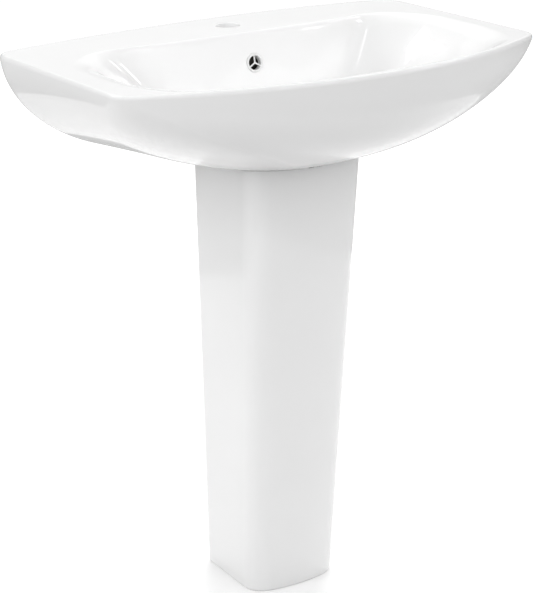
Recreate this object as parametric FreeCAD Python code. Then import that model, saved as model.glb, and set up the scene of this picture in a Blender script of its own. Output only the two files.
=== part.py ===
"""Pedestal sink: a ceramic basin on a ceramic pedestal, with its waste, bottle trap and seals.

Millimetres, +Z up.  X runs along the wall, the wall is at +Y and the user stands at -Y.
The origin is on the floor, in the middle of the object's plan.
Each function makes one sub-part; main() writes one STEP file per sub-part.
"""
import FreeCAD, Part
import math
import os

V = FreeCAD.Vector
UP = V(0, 0, 1)

# ---- basin: plan and rim ----
WIDTH = 702.0              # side to side
DEPTH = 467.0              # wall to the foremost point of the rim
BOW = 0.255 * DEPTH        # how far the curved front stands beyond its corners
RIM_Z = 830.0              # top of the rim at the wall, above the floor
FRONT_RISE = 10.0          # the rim climbs this much from the wall to the front
CROWN = 8.5                # the rim's ends lie this much below its middle
REAR_CORNER = 27.0         # plan radius of the two corners at the wall
FRONT_CORNER = 18.0        # plan rounding of the two front corners at the rim

# ---- basin: the hull below the rim ----
BOWL_DEPTH = 145.0         # from the rim at the wall to the drain
UNDER_DRAIN = 23.0         # from the drain to the flat underside
HULL_DROP = BOWL_DEPTH + UNDER_DRAIN
SEAT_REAR_HALF = 0.22 * WIDTH    # half width of the flat underside at the wall
SEAT_FRONT_HALF = 0.085 * WIDTH  # and at its front corners
SEAT_FRONT_BACK = 0.456 * DEPTH  # from the rim's foremost point to those corners
SEAT_BOW = 0.0125 * DEPTH  # bow of the flat underside's front edge
SEAT_CORNER = 0.25 * WIDTH # rounding of its front corners, before it is limited
REAR_FALL = (1.98, 1.64)   # power and root of each curve from the rim to the underside:
FRONT_FALL = (1.88, 1.26)  # half width at the wall, half width at the front corners,
PULL_FALL = (2.99, 1.06)   # and how far forward those corners stand
HULL_LEVELS = (-0.12, 0.0, 0.12, 0.26, 0.40, 0.54, 0.67, 0.78, 0.87, 0.94, 0.98, 0.998)
SHELL = 8.25               # thickness of the hull's skin
LAND = 12.0                # thickness of the flat underside
DECK = 14.0                # thickness of the tap ledge

# ---- basin: the bowl ----
DRAIN_FROM_WALL = 228.5    # drain centre
DRAIN_HOLE_R = 22.5
DRAIN_DISH_R = 33.0        # flat round the drain, the waste's flange lies here
BOSS_R = 38.0              # thickened ring under the drain
BOSS_RISE = 2.0            # underside of that ring above the flat underside
SIDE_LAND = 44.0           # rim's width at the sides
FRONT_LAND = 19.0          # rim's width at the front
LEDGE_MIDDLE = 128.0       # ledge's width behind the bowl, in the middle
LEDGE_SIDE = 84.0          # and towards the sides
LEDGE_SPREAD = 0.3 * WIDTH       # half width of the ledge's wider middle
REAR_POWER = 3.4           # squareness of the bowl's plan behind the drain
FRONT_POWER = 2.77         # and ahead of it
WALL_POWER = 2.2           # squareness of the bowl's section
BOWL_EDGE = 6.0            # rounding of the bowl's top edge
BOWL_WALL = 10.0           # thickness of the bowl's wall
BOWL_FLOOR = 9.0           # thickness of the bowl's floor
BOWL_LEVELS = (-0.04, 0.0, 0.02, 0.05, 0.12, 0.22, 0.34, 0.48, 0.62, 0.76, 0.88, 0.96, 1.0)

# ---- basin: holes ----
TAP_HOLE_R = 17.5
TAP_FROM_WALL = 65.5
OVERFLOW_DROP = 41.0       # below the rim at the wall
OVERFLOW_BORE_R = 11.9
OVERFLOW_DEPTH = 17.0      # of the hole, from the bowl's surface into the duct
DUCT_HALF = 15.0           # half width of the overflow's duct
DUCT_GAP = 10.0            # depth of the duct
DUCT_SKIN = 8.0            # wall round the duct
DUCT_HEAD = 16.0           # duct above the overflow's centre
APRON = 95.0               # height of the back panel below the rim
BACK_PANEL = 12.0
BOLT_SPACING = 280.0       # the two wall bolts
BOLT_DROP = 62.0           # below the rim at the wall
BOLT_BORE_R = 8.0
WINDOW_HALF = 130.0        # half width of the opening under the back panel
HATCH_HALF = 66.0          # half width of the opening in the flat underside
HATCH_FRONT = 50.0         # this opening's front edge, ahead of the drain

# ---- pedestal ----
FOOT_FRONT_HALF = 77.2     # half width at the foot's front corners
FOOT_REAR_HALF = 71.0
FOOT_DEPTH = 131.0         # rear edge to front corners
FOOT_BOW = 13.1
FOOT_CORNER = 29.4
PED_REAR_CORNER = 4.0
PEDESTAL_FROM_WALL = 113.5 # its rear edge
SIDE_SPLAY = 0.0303        # growth of each side per mm of height
FRONT_SPLAY = 0.0522       # growth of the front per mm of height
PED_WALL = 11.0
PED_RETURN = 13.0          # inward flange along each rear edge
LUG = 30.0                 # floor lug: length and width
LUG_T = 12.0
LUG_HOLE_R = 4.25
PAD_T = 2.0                # rubber pads between pedestal and basin
PAD_LENGTH = 22.0
PAD_RISE = 1.0             # the rear pads end this much above the flat underside

# ---- waste ----
TAIL_R = 20.95             # 1 1/4 inch thread
TAIL_BORE_R = 18.0
TAIL_LENGTH = 84.0         # below the drain
FLANGE_R = 31.5
FLANGE_T = 2.5
TOP_SEAL_T = 1.5
SLOT_HEIGHT = 9.0          # overflow slots in the tail
SLOT_WIDTH = 14.0
SLOT_ABOVE_BOSS = 4.0      # above the underside of the ring under the drain
CROSSBAR_T = 5.0
CROSSBAR_WIDTH = 7.0
CROSSBAR_DROP = 30.0       # below the drain, to its underside
HUB_R = 8.5
CARTRIDGE_R = 6.8
CARTRIDGE_LENGTH = 24.0
CARTRIDGE_FLOOR = 1.5
STEM_R = 3.4
STEM_FIT = 0.06            # stem in its cartridge, radial
STEM_CLEARANCE = 1.0       # under the stem when the plug is shut
PLUG_R = 28.5
PLUG_T = 3.5
PLUG_DOME = 2.0
PLUG_TRAVEL = 8.0
PLUG_SEAL_OUTER = 25.0
PLUG_SEAL_INNER = 20.5
PLUG_SEAL_T = 2.0
THREAD_FIT = 0.05          # nuts on threads, radial
BACKNUT_R = 30.0
BACKNUT_T = 12.0
UNDER_WASHER_R = 30.5
UNDER_WASHER_T = 4.0

# ---- bottle trap and outlet ----
PIPE_R = 16.0              # 32 mm pipe
PIPE_WALL = 1.8
PIPE_FIT = 0.3             # pipe in nuts and necks, radial
STOP_R = 18.5              # collar on the outlet pipe that stops it in the wall's socket
STOP_T = 3.0
STOP_FROM_END = 100.0
NUT_R = 27.0
NUT_T = 21.0
NUT_LIP = 2.5
NUT_RIBS = 12
NUT_RIB_R = 1.6
WASHER_T = 2.5
TUBE_FLANGE_R = 20.0
TUBE_FLANGE_T = 2.5
NECK_R = 20.9              # threaded necks of the trap
NECK_LENGTH = 18.0
TRAP_R = 29.0
TRAP_WALL = 2.6
TRAP_DROP = 51.0           # from the tail's end to the trap's shoulder
OUTLET_DROP = 26.0         # outlet's axis below the trap's shoulder
DIP_BELOW_OUTLET = 76.0    # end of the inlet tube below the outlet's axis
CUP_BELOW_DIP = 22.0       # cup's floor below the end of the tube
CUP_COLLAR_GAP = 2.5       # cup's collar below the outlet's nut
CUP_GRIP = 13.0            # how far the collar goes over the trap's fixed head
CUP_COLLAR_WALL = 3.2
CUP_RIBS = 16
CUP_RIB_R = 1.8
CUP_SEAL_T = 2.4
FIT_GAP = 0.3              # between faces of pieces that come apart

# ---- overflow ring ----
RING_R = 13.8
RING_T = 2.2
RING_APERTURE_R = 10.4
RING_SLEEVE = 7.0
RING_FIT = 0.1             # sleeve in its hole, radial
RING_SEAT_FIT = 0.5        # flat seat round the ring, radial
SPOKES = 3
SPOKE_WIDTH = 2.2
SPOKE_T = 1.4

# ---- wall bushes ----
BUSH_FLANGE_R = 13.0
BUSH_FLANGE_T = 3.0
BUSH_HOLE_R = 5.25
BUSH_FIT = 0.1             # sleeve in the back panel, radial

TRIM = 0.6                 # sawn off the hull's back, so that it is flat
OVER = 20.0                # how far a cutting shape reaches past what it cuts

# ---- places that follow from the sizes above ----
WALL_Y = DEPTH / 2
FRONT_Y = -DEPTH / 2
HALF = WIDTH / 2
SEAT_Z = RIM_Z - HULL_DROP
DRAIN_Y = WALL_Y - DRAIN_FROM_WALL
DRAIN_Z = RIM_Z - BOWL_DEPTH
BOSS_Z = SEAT_Z + BOSS_RISE
TAP_Y = WALL_Y - TAP_FROM_WALL
PED_REAR_Y = WALL_Y - PEDESTAL_FROM_WALL
SLOT_Z = BOSS_Z + SLOT_ABOVE_BOSS
FLANGE_Z = DRAIN_Z + TOP_SEAL_T
FLANGE_TOP_Z = FLANGE_Z + FLANGE_T
TAIL_END_Z = DRAIN_Z - TAIL_LENGTH
CROSSBAR_Z = DRAIN_Z - CROSSBAR_DROP
CARTRIDGE_Z = CROSSBAR_Z + CROSSBAR_T
PLUG_Z = FLANGE_TOP_Z + FIT_GAP + PLUG_SEAL_T + PLUG_TRAVEL
STEM_Z = CARTRIDGE_Z + CARTRIDGE_FLOOR + STEM_CLEARANCE + PLUG_TRAVEL
UNDER_WASHER_Z = BOSS_Z - UNDER_WASHER_T
BACKNUT_Z = UNDER_WASHER_Z - BACKNUT_T
TUBE_TOP_Z = TAIL_END_Z - WASHER_T
SHOULDER_Z = TAIL_END_Z - TRAP_DROP
NECK_TOP_Z = SHOULDER_Z + NECK_LENGTH
OUTLET_Z = SHOULDER_Z - OUTLET_DROP
COLLAR_TOP_Z = OUTLET_Z - NUT_R - NUT_RIB_R - CUP_COLLAR_GAP
HEAD_LOW_Z = COLLAR_TOP_Z - CUP_GRIP
DIP_END_Z = OUTLET_Z - DIP_BELOW_OUTLET
CUP_FLOOR_Z = DIP_END_Z - CUP_BELOW_DIP
OUTLET_NECK_Y = DRAIN_Y + TRAP_R + NECK_LENGTH


# ---------------------------------------------------------------- small helpers
def cylinder(radius, z_low, z_high, x=0.0, y=DRAIN_Y):
    return Part.makeCylinder(radius, z_high - z_low, V(x, y, z_low))


def tube(outer, inner, z_low, z_high, x=0.0, y=DRAIN_Y):
    return cylinder(outer, z_low, z_high, x, y).cut(cylinder(inner, z_low - 1, z_high + 1, x, y))


def box(low, high):
    return Part.makeBox(high[0] - low[0], high[1] - low[1], high[2] - low[2], V(*low))


def prism(radius, sides, z_low, z_high, x=0.0, y=DRAIN_Y):
    """A prism with this many sides, its corners on the radius."""
    turn = 2 * math.pi / sides
    corners = [V(x + radius * math.cos(turn * (i + 0.5)), y + radius * math.sin(turn * (i + 0.5)), z_low)
               for i in range(sides)]
    face = Part.Face(Part.makePolygon(corners + corners[:1]))
    return face.extrude(UP * (z_high - z_low))


def along_y(shape, y_start, z):
    """Turns a shape that stands on the origin so that it runs along +Y from y_start."""
    turned = shape.copy()
    turned.rotate(V(0, 0, 0), V(1, 0, 0), -90)
    turned.translate(V(0, y_start, z))
    return turned


def fall(share, power, root):
    """1 at the rim, 0 at the bottom, in a rounded curve."""
    return max(0.0, 1.0 - min(1.0, max(0.0, share)) ** power) ** (1.0 / root)


# ---------------------------------------------------------------- basin
def hull_sizes(depth):
    """The hull's plan at a depth below the rim at the wall."""
    share = depth / HULL_DROP
    rear = SEAT_REAR_HALF + (HALF - SEAT_REAR_HALF) * fall(share, *REAR_FALL)
    front = SEAT_FRONT_HALF + (HALF - SEAT_FRONT_HALF) * fall(share, *FRONT_FALL)
    pull = fall(share, *PULL_FALL)
    seat_corner_y = FRONT_Y + SEAT_FRONT_BACK
    corner_y = seat_corner_y + (FRONT_Y + BOW - seat_corner_y) * pull
    bow = SEAT_BOW + (BOW - SEAT_BOW) * pull
    rounding = FRONT_CORNER + (SEAT_CORNER - FRONT_CORNER) * max(0.0, min(1.0, share))
    return rear, front, corner_y, bow, rounding


def bend(start, corner, end, steps, weight):
    """Points on a conic that rounds a corner off; the weight of a quarter circle is 0.707."""
    points = []
    for i in range(steps + 1):
        t = i / steps
        a, b, c = (1 - t) ** 2, 2 * weight * t * (1 - t), t ** 2
        points.append((start * a + corner * b + end * c) * (1.0 / (a + b + c)))
    return points


def between(start, end, steps):
    return [start + (end - start) * (i / steps) for i in range(1, steps)]


def shield(rear, front, corner_y, bow, rounding, rear_round, rear_y, z):
    """Half outline from the wall round to the middle of the bowed front, then mirrored."""
    wall_corner, corner = V(rear, rear_y, z), V(front, corner_y, z)
    along = (wall_corner - corner).normalize()
    side = (wall_corner - corner).Length
    cut = (rounding ** -6 + (0.48 * side) ** -6 + (0.6 * front) ** -6) ** (-1 / 6)
    x_cut = front - cut
    front_start = V(x_cut, corner_y - bow * (1 - (x_cut / front) ** 2), z)
    wall_start = V(rear - rear_round, rear_y, z)
    side_start, side_end = wall_corner - along * rear_round, corner + along * cut
    half = bend(wall_start, wall_corner, side_start, 4, 0.707)
    half += between(side_start, side_end, 5)
    half += bend(side_end, corner, front_start, 6, 1.0)
    for i in range(1, 9):
        x = x_cut * (1 - i / 8)
        half.append(V(x, corner_y - bow * (1 - (x / front) ** 2), z))
    outline = half + [V(-p.x, p.y, p.z) for p in reversed(half[:-1])]
    return outline + between(outline[-1], outline[0], 8)


def chord_shares(points):
    """Each point's share of the way round the closed outline, and 1 for the return."""
    steps = [(q - p).Length for p, q in zip(points, points[1:] + points[:1])]
    shares, way = [0.0], 0.0
    for step in steps:
        way += step
        shares.append(way / sum(steps))
    return shares


def loft(outlines, straight=False):
    """A solid through closed outlines that have the same number of points."""
    each = [chord_shares(points) for points in outlines]
    shares = [sum(column) / len(each) for column in zip(*each)]
    wires = [Part.Wire([ring_spline(points, shares)]) for points in outlines]
    return Part.makeLoft(wires, True, straight)


def ring_spline(points, shares):
    curve = Part.BSplineCurve()
    curve.interpolate(Points=points, PeriodicFlag=True, Parameters=shares)
    return curve.toShape()


def hull(inset=0.0, lift=0.0, rear_y=WALL_Y):
    """The basin's outer shape as a solid block, or that shape drawn inwards and lifted."""
    outlines = []
    for share in HULL_LEVELS:
        depth = share * HULL_DROP
        z = RIM_Z - depth + lift
        rear, front, corner_y, bow, rounding = hull_sizes(depth)
        outlines.append(shield(rear - inset, front - inset * 0.8, corner_y + inset, bow, rounding,
                               REAR_CORNER - inset, rear_y + TRIM, z))
    return loft(outlines).common(box((-WIDTH, -DEPTH, 0), (WIDTH, rear_y, 2 * RIM_Z)))


def rim_block(drop=0.0):
    """Everything under the crowned and tilted rim surface, or under one that lies lower."""
    x = HALF + OVER
    sag = CROWN * (x / HALF) ** 2
    climb = FRONT_RISE / DEPTH
    start_y, top = WALL_Y + OVER, RIM_Z - drop - OVER * climb
    crown = Part.BezierCurve()
    crown.setPoles([V(-x, start_y, top - sag), V(0, start_y, top + sag), V(x, start_y, top - sag)])
    low = SEAT_Z - OVER
    corners = [V(x, start_y, top - sag), V(x, start_y, low), V(-x, start_y, low), V(-x, start_y, top - sag)]
    face = Part.Face(Part.Wire([crown.toShape()] + Part.makePolygon(corners).Edges))
    length = DEPTH + 2 * OVER
    return face.extrude(V(0, -length, length * climb))


def bowl_reach(angle):
    """Distance from the drain to the bowl's top edge, in a plan direction."""
    dx, dy = math.cos(angle), math.sin(angle)
    half, reach, power = HALF - SIDE_LAND, DRAIN_Y - FRONT_Y - FRONT_LAND, FRONT_POWER
    if dy > 0:
        power = REAR_POWER
        reach = WALL_Y - LEDGE_SIDE - DRAIN_Y
        for _ in range(12):
            x = min(abs(dx) * reach / max(dy, 1e-6), half)
            wide = math.exp(-(x / LEDGE_SPREAD) ** 4)
            reach = WALL_Y - LEDGE_SIDE - DRAIN_Y - (LEDGE_MIDDLE - LEDGE_SIDE) * wide
    return 1.0 / ((abs(dx) / half) ** power + (abs(dy) / reach) ** power) ** (1.0 / power)


def bowl_radius(angle, depth, grow=0.0):
    """Plan radius of the bowl round the drain, at a depth below the rim at the wall."""
    share = max(0.0, min(1.0, depth / BOWL_DEPTH))
    slack = 0.55 + 0.35 * math.cos(angle) ** 2
    spread = fall(share, WALL_POWER, WALL_POWER) - slack * share * (1 - share)
    dip = max(0.0, BOWL_EDGE - depth)
    flare = BOWL_EDGE - math.sqrt(BOWL_EDGE ** 2 - dip ** 2)
    return DRAIN_DISH_R + (bowl_reach(angle) - DRAIN_DISH_R) * spread + flare + grow


def bowl(grow=0.0, drop=0.0):
    """The bowl's hollow as a solid, or that shape grown and lowered to give the bowl its wall."""
    count = 40
    outlines = []
    for share in BOWL_LEVELS:
        depth = share * BOWL_DEPTH
        climb = FRONT_RISE / DEPTH * (1 - max(share, 0.0))
        points = []
        for i in range(count):
            angle = 2 * math.pi * i / count
            radius = bowl_radius(angle, max(depth, 0.0), grow)
            x, y = radius * math.cos(angle), DRAIN_Y + radius * math.sin(angle)
            points.append(V(x, y, RIM_Z - depth - drop + climb * (WALL_Y - y)))
        outlines.append(points)
    return loft(outlines)


def bowl_back_y(z):
    """The bowl's surface behind the drain, in the middle of the basin."""
    return DRAIN_Y + bowl_radius(math.pi / 2, RIM_Z - z)


def duct(skin):
    """The overflow's duct behind the bowl, or the ceramic round it."""
    near = 0.0 if skin else BOWL_FLOOR
    far = BOWL_FLOOR + DUCT_GAP + skin
    top = RIM_Z - OVERFLOW_DROP + DUCT_HEAD + skin
    low = SLOT_Z - skin * 0.4
    half = DUCT_HALF + skin
    steps = 8
    levels = [low + SLOT_HEIGHT + (top - low - SLOT_HEIGHT) * i / steps for i in range(steps + 1)]
    inner = [V(-half, bowl_back_y(z) + near, z) for z in levels]
    outer = [V(-half, bowl_back_y(z) + far, z) for z in reversed(levels)]
    end = [V(-half, bowl_back_y(levels[0]) + far, low), V(-half, DRAIN_Y, low),
           V(-half, DRAIN_Y, low + SLOT_HEIGHT)]
    points = inner + outer + end
    face = Part.Face(Part.makePolygon(points + points[:1]))
    return face.extrude(V(2 * half, 0, 0))


def at_overflow(shape):
    """Puts a shape on the bowl's back wall: its z = 0 plane there, +Z into the bowl."""
    z = RIM_Z - OVERFLOW_DROP
    step = 4.0
    lean = math.degrees(math.atan2(bowl_back_y(z + step) - bowl_back_y(z - step), 2 * step))
    placed = shape.copy()
    placed.rotate(V(0, 0, 0), V(1, 0, 0), 90 - lean)
    placed.translate(V(0, bowl_back_y(z), z))
    return placed


def basin():
    block = hull().common(rim_block())
    under = hull(inset=SHELL, lift=LAND, rear_y=WALL_Y - BACK_PANEL)
    under = under.common(rim_block(drop=DECK))
    hatch = box((-HATCH_HALF, DRAIN_Y - HATCH_FRONT, SEAT_Z - OVER),
                (HATCH_HALF, WALL_Y + OVER, SEAT_Z + LAND + LAND / 2))
    window = box((-WINDOW_HALF, WALL_Y - BACK_PANEL - LAND / 2, SEAT_Z - OVER),
                 (WINDOW_HALF, WALL_Y + OVER, RIM_Z - APRON))
    boss = cylinder(BOSS_R, BOSS_Z, DRAIN_Z)
    core = bowl(grow=BOWL_WALL, drop=BOWL_FLOOR).fuse([boss, duct(DUCT_SKIN)])
    for space in (under, hatch, window):
        block = block.cut(space.cut(core))
    holes = [bowl(), duct(0), cylinder(DRAIN_HOLE_R, SEAT_Z - OVER, RIM_Z),
             cylinder(TAP_HOLE_R, RIM_Z - DECK - OVER, RIM_Z + OVER, 0, TAP_Y),
             at_overflow(Part.makeCylinder(OVERFLOW_BORE_R, 2 * OVERFLOW_DEPTH, V(0, 0, -OVERFLOW_DEPTH))),
             at_overflow(Part.makeCylinder(RING_R + RING_SEAT_FIT, OVERFLOW_DEPTH))]
    for x in (-BOLT_SPACING / 2, BOLT_SPACING / 2):
        bolt = along_y(Part.makeCylinder(BOLT_BORE_R, BACK_PANEL + 2 * OVER), WALL_Y - BACK_PANEL - OVER, 0)
        bolt.translate(V(x, 0, RIM_Z - BOLT_DROP))
        holes.append(bolt)
    for hole in holes:
        block = block.cut(hole)
    return block


# ---------------------------------------------------------------- pedestal
def column(inset, rear_y, z_low, z_high):
    """The pedestal's tapered block, or that block drawn inwards."""
    outlines = []
    for z in (z_low, z_high):
        grow = SIDE_SPLAY * z
        corner_y = PED_REAR_Y - FOOT_DEPTH - FRONT_SPLAY * z
        outlines.append(shield(FOOT_REAR_HALF + grow - inset, FOOT_FRONT_HALF + grow - inset,
                               corner_y + inset, FOOT_BOW, FOOT_CORNER - 0.6 * inset,
                               PED_REAR_CORNER, rear_y + TRIM, z))
    return loft(outlines, straight=True).common(box((-WIDTH, -DEPTH, z_low - 1), (WIDTH, rear_y, z_high + 1)))


def pedestal_shell(z_high):
    hollow = column(PED_WALL, PED_REAR_Y - PED_WALL, -1, z_high + 1)
    gap = column(PED_WALL + PED_RETURN, PED_REAR_Y + OVER, -1, z_high + 1)
    return column(0, PED_REAR_Y, 0, z_high).cut(hollow).cut(gap)


def lug_places():
    x = FOOT_REAR_HALF - PED_WALL - LUG / 2
    y = PED_REAR_Y - PED_WALL - LUG / 2
    return [(-x, y), (x, y)]


def pedestal():
    body = pedestal_shell(SEAT_Z + 2 * OVER)
    for x, y in lug_places():
        reach = LUG / 2 + 2
        lug = box((x - reach, y - LUG / 2, 0), (x + reach, y + LUG / 2 + 2, LUG_T))
        body = body.fuse(lug.common(column(2.0, PED_REAR_Y - 2, 0, LUG_T)))
    for x, y in lug_places():
        body = body.cut(cylinder(LUG_HOLE_R, -1, LUG_T + 1, x, y))
    return body.cut(lowered_hull()).removeSplitter()


def lowered_hull():
    shape = hull()
    shape.translate(V(0, 0, -PAD_T))
    return shape


def pedestal_pads():
    """Thin rubber blocks on the pedestal's top edge, two at the rear and one at the front."""
    ring = pedestal_shell(SEAT_Z + 2 * OVER).common(lowered_hull()).cut(hull())
    half, y = PAD_LENGTH / 2, PED_REAR_Y - PAD_LENGTH
    side = FOOT_REAR_HALF + SIDE_SPLAY * SEAT_Z - PED_WALL
    zones = [box((-half, -DEPTH, 0), (half, DRAIN_Y, RIM_Z)),
             box((-side - PED_WALL, y, 0), (-side + PED_WALL / 2, PED_REAR_Y, SEAT_Z + PAD_RISE)),
             box((side - PED_WALL / 2, y, 0), (side + PED_WALL, PED_REAR_Y, SEAT_Z + PAD_RISE))]
    return Part.makeCompound([solid for zone in zones for solid in ring.common(zone).Solids])


# ---------------------------------------------------------------- basin fittings
def overflow_ring():
    """Trim ring with a sleeve that pushes into the overflow's hole, and plain spokes."""
    sleeve_r = OVERFLOW_BORE_R - RING_FIT
    body = Part.makeCylinder(RING_R, RING_T).fuse(
        Part.makeCylinder(sleeve_r, RING_SLEEVE, V(0, 0, -RING_SLEEVE)))
    body = body.cut(Part.makeCylinder(RING_APERTURE_R, RING_SLEEVE + RING_T + 2, V(0, 0, -RING_SLEEVE - 1)))
    for i in range(SPOKES):
        spoke = Part.makeBox(RING_APERTURE_R + 0.5, SPOKE_WIDTH, SPOKE_T, V(0, -SPOKE_WIDTH / 2, 0))
        spoke.rotate(V(0, 0, 0), UP, 90 + 360 * i / SPOKES)
        body = body.fuse(spoke)
    return at_overflow(body.removeSplitter())


def wall_bushes():
    """Sleeves for the two wall bolts, pushed in from the inside of the back panel."""
    shapes = []
    for x in (-BOLT_SPACING / 2, BOLT_SPACING / 2):
        bush = Part.makeCylinder(BOLT_BORE_R - BUSH_FIT, BACK_PANEL).fuse(
            Part.makeCylinder(BUSH_FLANGE_R, BUSH_FLANGE_T, V(0, 0, -BUSH_FLANGE_T)))
        bush = bush.cut(Part.makeCylinder(BUSH_HOLE_R, BACK_PANEL + 2 * OVER, V(0, 0, -OVER)))
        bush = along_y(bush, WALL_Y - BACK_PANEL, RIM_Z - BOLT_DROP)
        bush.translate(V(x, 0, 0))
        shapes.append(bush)
    return Part.makeCompound(shapes)


# ---------------------------------------------------------------- waste
def waste_body():
    body = cylinder(FLANGE_R, FLANGE_Z, FLANGE_TOP_Z).fuse(cylinder(TAIL_R, TAIL_END_Z, FLANGE_TOP_Z))
    body = body.cut(cylinder(TAIL_BORE_R, TAIL_END_Z - 1, FLANGE_TOP_Z + 1))
    slot = box((-SLOT_WIDTH / 2, DRAIN_Y - TAIL_R - 1, SLOT_Z),
               (SLOT_WIDTH / 2, DRAIN_Y + TAIL_R + 1, SLOT_Z + SLOT_HEIGHT))
    body = body.cut(slot)
    bar = box((-TAIL_BORE_R - 1, DRAIN_Y - CROSSBAR_WIDTH / 2, CROSSBAR_Z),
              (TAIL_BORE_R + 1, DRAIN_Y + CROSSBAR_WIDTH / 2, CARTRIDGE_Z))
    return body.fuse([bar, cylinder(HUB_R, CROSSBAR_Z, CARTRIDGE_Z)]).removeSplitter()


def plug_cartridge():
    body = cylinder(CARTRIDGE_R, CARTRIDGE_Z, CARTRIDGE_Z + CARTRIDGE_LENGTH)
    return body.cut(cylinder(STEM_R + STEM_FIT, CARTRIDGE_Z + CARTRIDGE_FLOOR, RIM_Z))


def plug_stem():
    return cylinder(STEM_R, STEM_Z, PLUG_Z)


def plug_cap():
    """Disc with a slightly domed top."""
    edge = PLUG_T - PLUG_DOME
    radius = (PLUG_R ** 2 + PLUG_DOME ** 2) / (2 * PLUG_DOME)
    ball = Part.makeSphere(radius, V(0, DRAIN_Y, PLUG_Z + PLUG_T - radius))
    return cylinder(PLUG_R, PLUG_Z, PLUG_Z + edge + PLUG_DOME).common(ball)


def plug_seal():
    return tube(PLUG_SEAL_OUTER, PLUG_SEAL_INNER, PLUG_Z - PLUG_SEAL_T, PLUG_Z)


def waste_top_seal():
    return tube(FLANGE_R, TAIL_R + THREAD_FIT, DRAIN_Z, FLANGE_Z)


def waste_under_washer():
    return tube(UNDER_WASHER_R, TAIL_R + THREAD_FIT, UNDER_WASHER_Z, BOSS_Z)


def waste_backnut():
    nut = prism(BACKNUT_R, 6, BACKNUT_Z, UNDER_WASHER_Z)
    return nut.cut(cylinder(TAIL_R + THREAD_FIT, BACKNUT_Z - 1, UNDER_WASHER_Z + 1))


# ---------------------------------------------------------------- trap
def union_nut(thread_r):
    """A ribbed nut standing on the origin, its lip at the bottom."""
    nut = Part.makeCylinder(NUT_R, NUT_T)
    for i in range(NUT_RIBS):
        turn = 2 * math.pi * i / NUT_RIBS
        nut = nut.fuse(Part.makeCylinder(NUT_RIB_R, NUT_T, V(NUT_R * math.cos(turn), NUT_R * math.sin(turn), 0)))
    nut = nut.cut(Part.makeCylinder(thread_r + THREAD_FIT, NUT_T, V(0, 0, NUT_LIP)))
    return nut.cut(Part.makeCylinder(PIPE_R + PIPE_FIT, NUT_T, V(0, 0, -1))).removeSplitter()


def seat_washer(outer, z_low):
    return tube(outer, PIPE_R + THREAD_FIT, z_low, z_low + WASHER_T)


def inlet_nut():
    nut = union_nut(TAIL_R)
    nut.translate(V(0, DRAIN_Y, TUBE_TOP_Z - TUBE_FLANGE_T - NUT_LIP))
    return nut


def inlet_washer():
    return tube(TUBE_FLANGE_R, PIPE_R - PIPE_WALL, TUBE_TOP_Z, TAIL_END_Z)


def inlet_tube():
    body = cylinder(PIPE_R, DIP_END_Z, TUBE_TOP_Z)
    body = body.fuse(cylinder(TUBE_FLANGE_R, TUBE_TOP_Z - TUBE_FLANGE_T, TUBE_TOP_Z))
    return body.cut(cylinder(PIPE_R - PIPE_WALL, DIP_END_Z - 1, TUBE_TOP_Z + 1))


def trap_nut():
    nut = union_nut(NECK_R)
    nut.rotate(V(0, 0, 0), V(1, 0, 0), 180)
    nut.translate(V(0, DRAIN_Y, NECK_TOP_Z + WASHER_T + NUT_LIP))
    return nut


def trap_washer():
    return seat_washer(NECK_R, NECK_TOP_Z)


def trap_head():
    """Fixed upper half of the trap: a neck for the inlet tube and a neck for the outlet pipe."""
    body = cylinder(TRAP_R, HEAD_LOW_Z, SHOULDER_Z).fuse(cylinder(NECK_R, SHOULDER_Z - 1, NECK_TOP_Z))
    length = NECK_LENGTH + TRAP_R
    body = body.fuse(along_y(Part.makeCylinder(NECK_R, length), DRAIN_Y, OUTLET_Z))
    body = body.cut(cylinder(TRAP_R - TRAP_WALL, HEAD_LOW_Z - 1, SHOULDER_Z - TRAP_WALL))
    body = body.cut(cylinder(PIPE_R + PIPE_FIT, SHOULDER_Z - 10, NECK_TOP_Z + 1))
    return body.cut(along_y(Part.makeCylinder(PIPE_R + PIPE_FIT, length + 1), DRAIN_Y, OUTLET_Z))


def trap_cup():
    """The lower half, which unscrews for cleaning."""
    inner = TRAP_R + FIT_GAP
    outer = inner + CUP_COLLAR_WALL
    ledge_z = HEAD_LOW_Z - FIT_GAP - CUP_SEAL_T
    collar_low = ledge_z - TRAP_WALL
    body = cylinder(TRAP_R, CUP_FLOOR_Z - TRAP_WALL, ledge_z).fuse(cylinder(outer, collar_low, COLLAR_TOP_Z))
    for i in range(CUP_RIBS):
        turn = 2 * math.pi * (i + 0.5) / CUP_RIBS
        x, y = outer * math.cos(turn), DRAIN_Y + outer * math.sin(turn)
        body = body.fuse(cylinder(CUP_RIB_R, collar_low, COLLAR_TOP_Z, x, y))
    body = body.cut(cylinder(inner, ledge_z, COLLAR_TOP_Z + 1))
    return body.cut(cylinder(TRAP_R - TRAP_WALL, CUP_FLOOR_Z, ledge_z + 1)).removeSplitter()


def cup_seal():
    ledge_z = HEAD_LOW_Z - FIT_GAP - CUP_SEAL_T
    return tube(TRAP_R, TRAP_R - TRAP_WALL, ledge_z, ledge_z + CUP_SEAL_T)


# ---------------------------------------------------------------- outlet
def outlet_nut():
    nut = union_nut(NECK_R)
    nut.rotate(V(0, 0, 0), V(1, 0, 0), 180)
    return along_y(nut, OUTLET_NECK_Y + WASHER_T + NUT_LIP, OUTLET_Z)


def outlet_washer():
    ring = Part.makeCylinder(NECK_R, WASHER_T).cut(Part.makeCylinder(PIPE_R + THREAD_FIT, WASHER_T))
    return along_y(ring, OUTLET_NECK_Y, OUTLET_Z)


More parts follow.
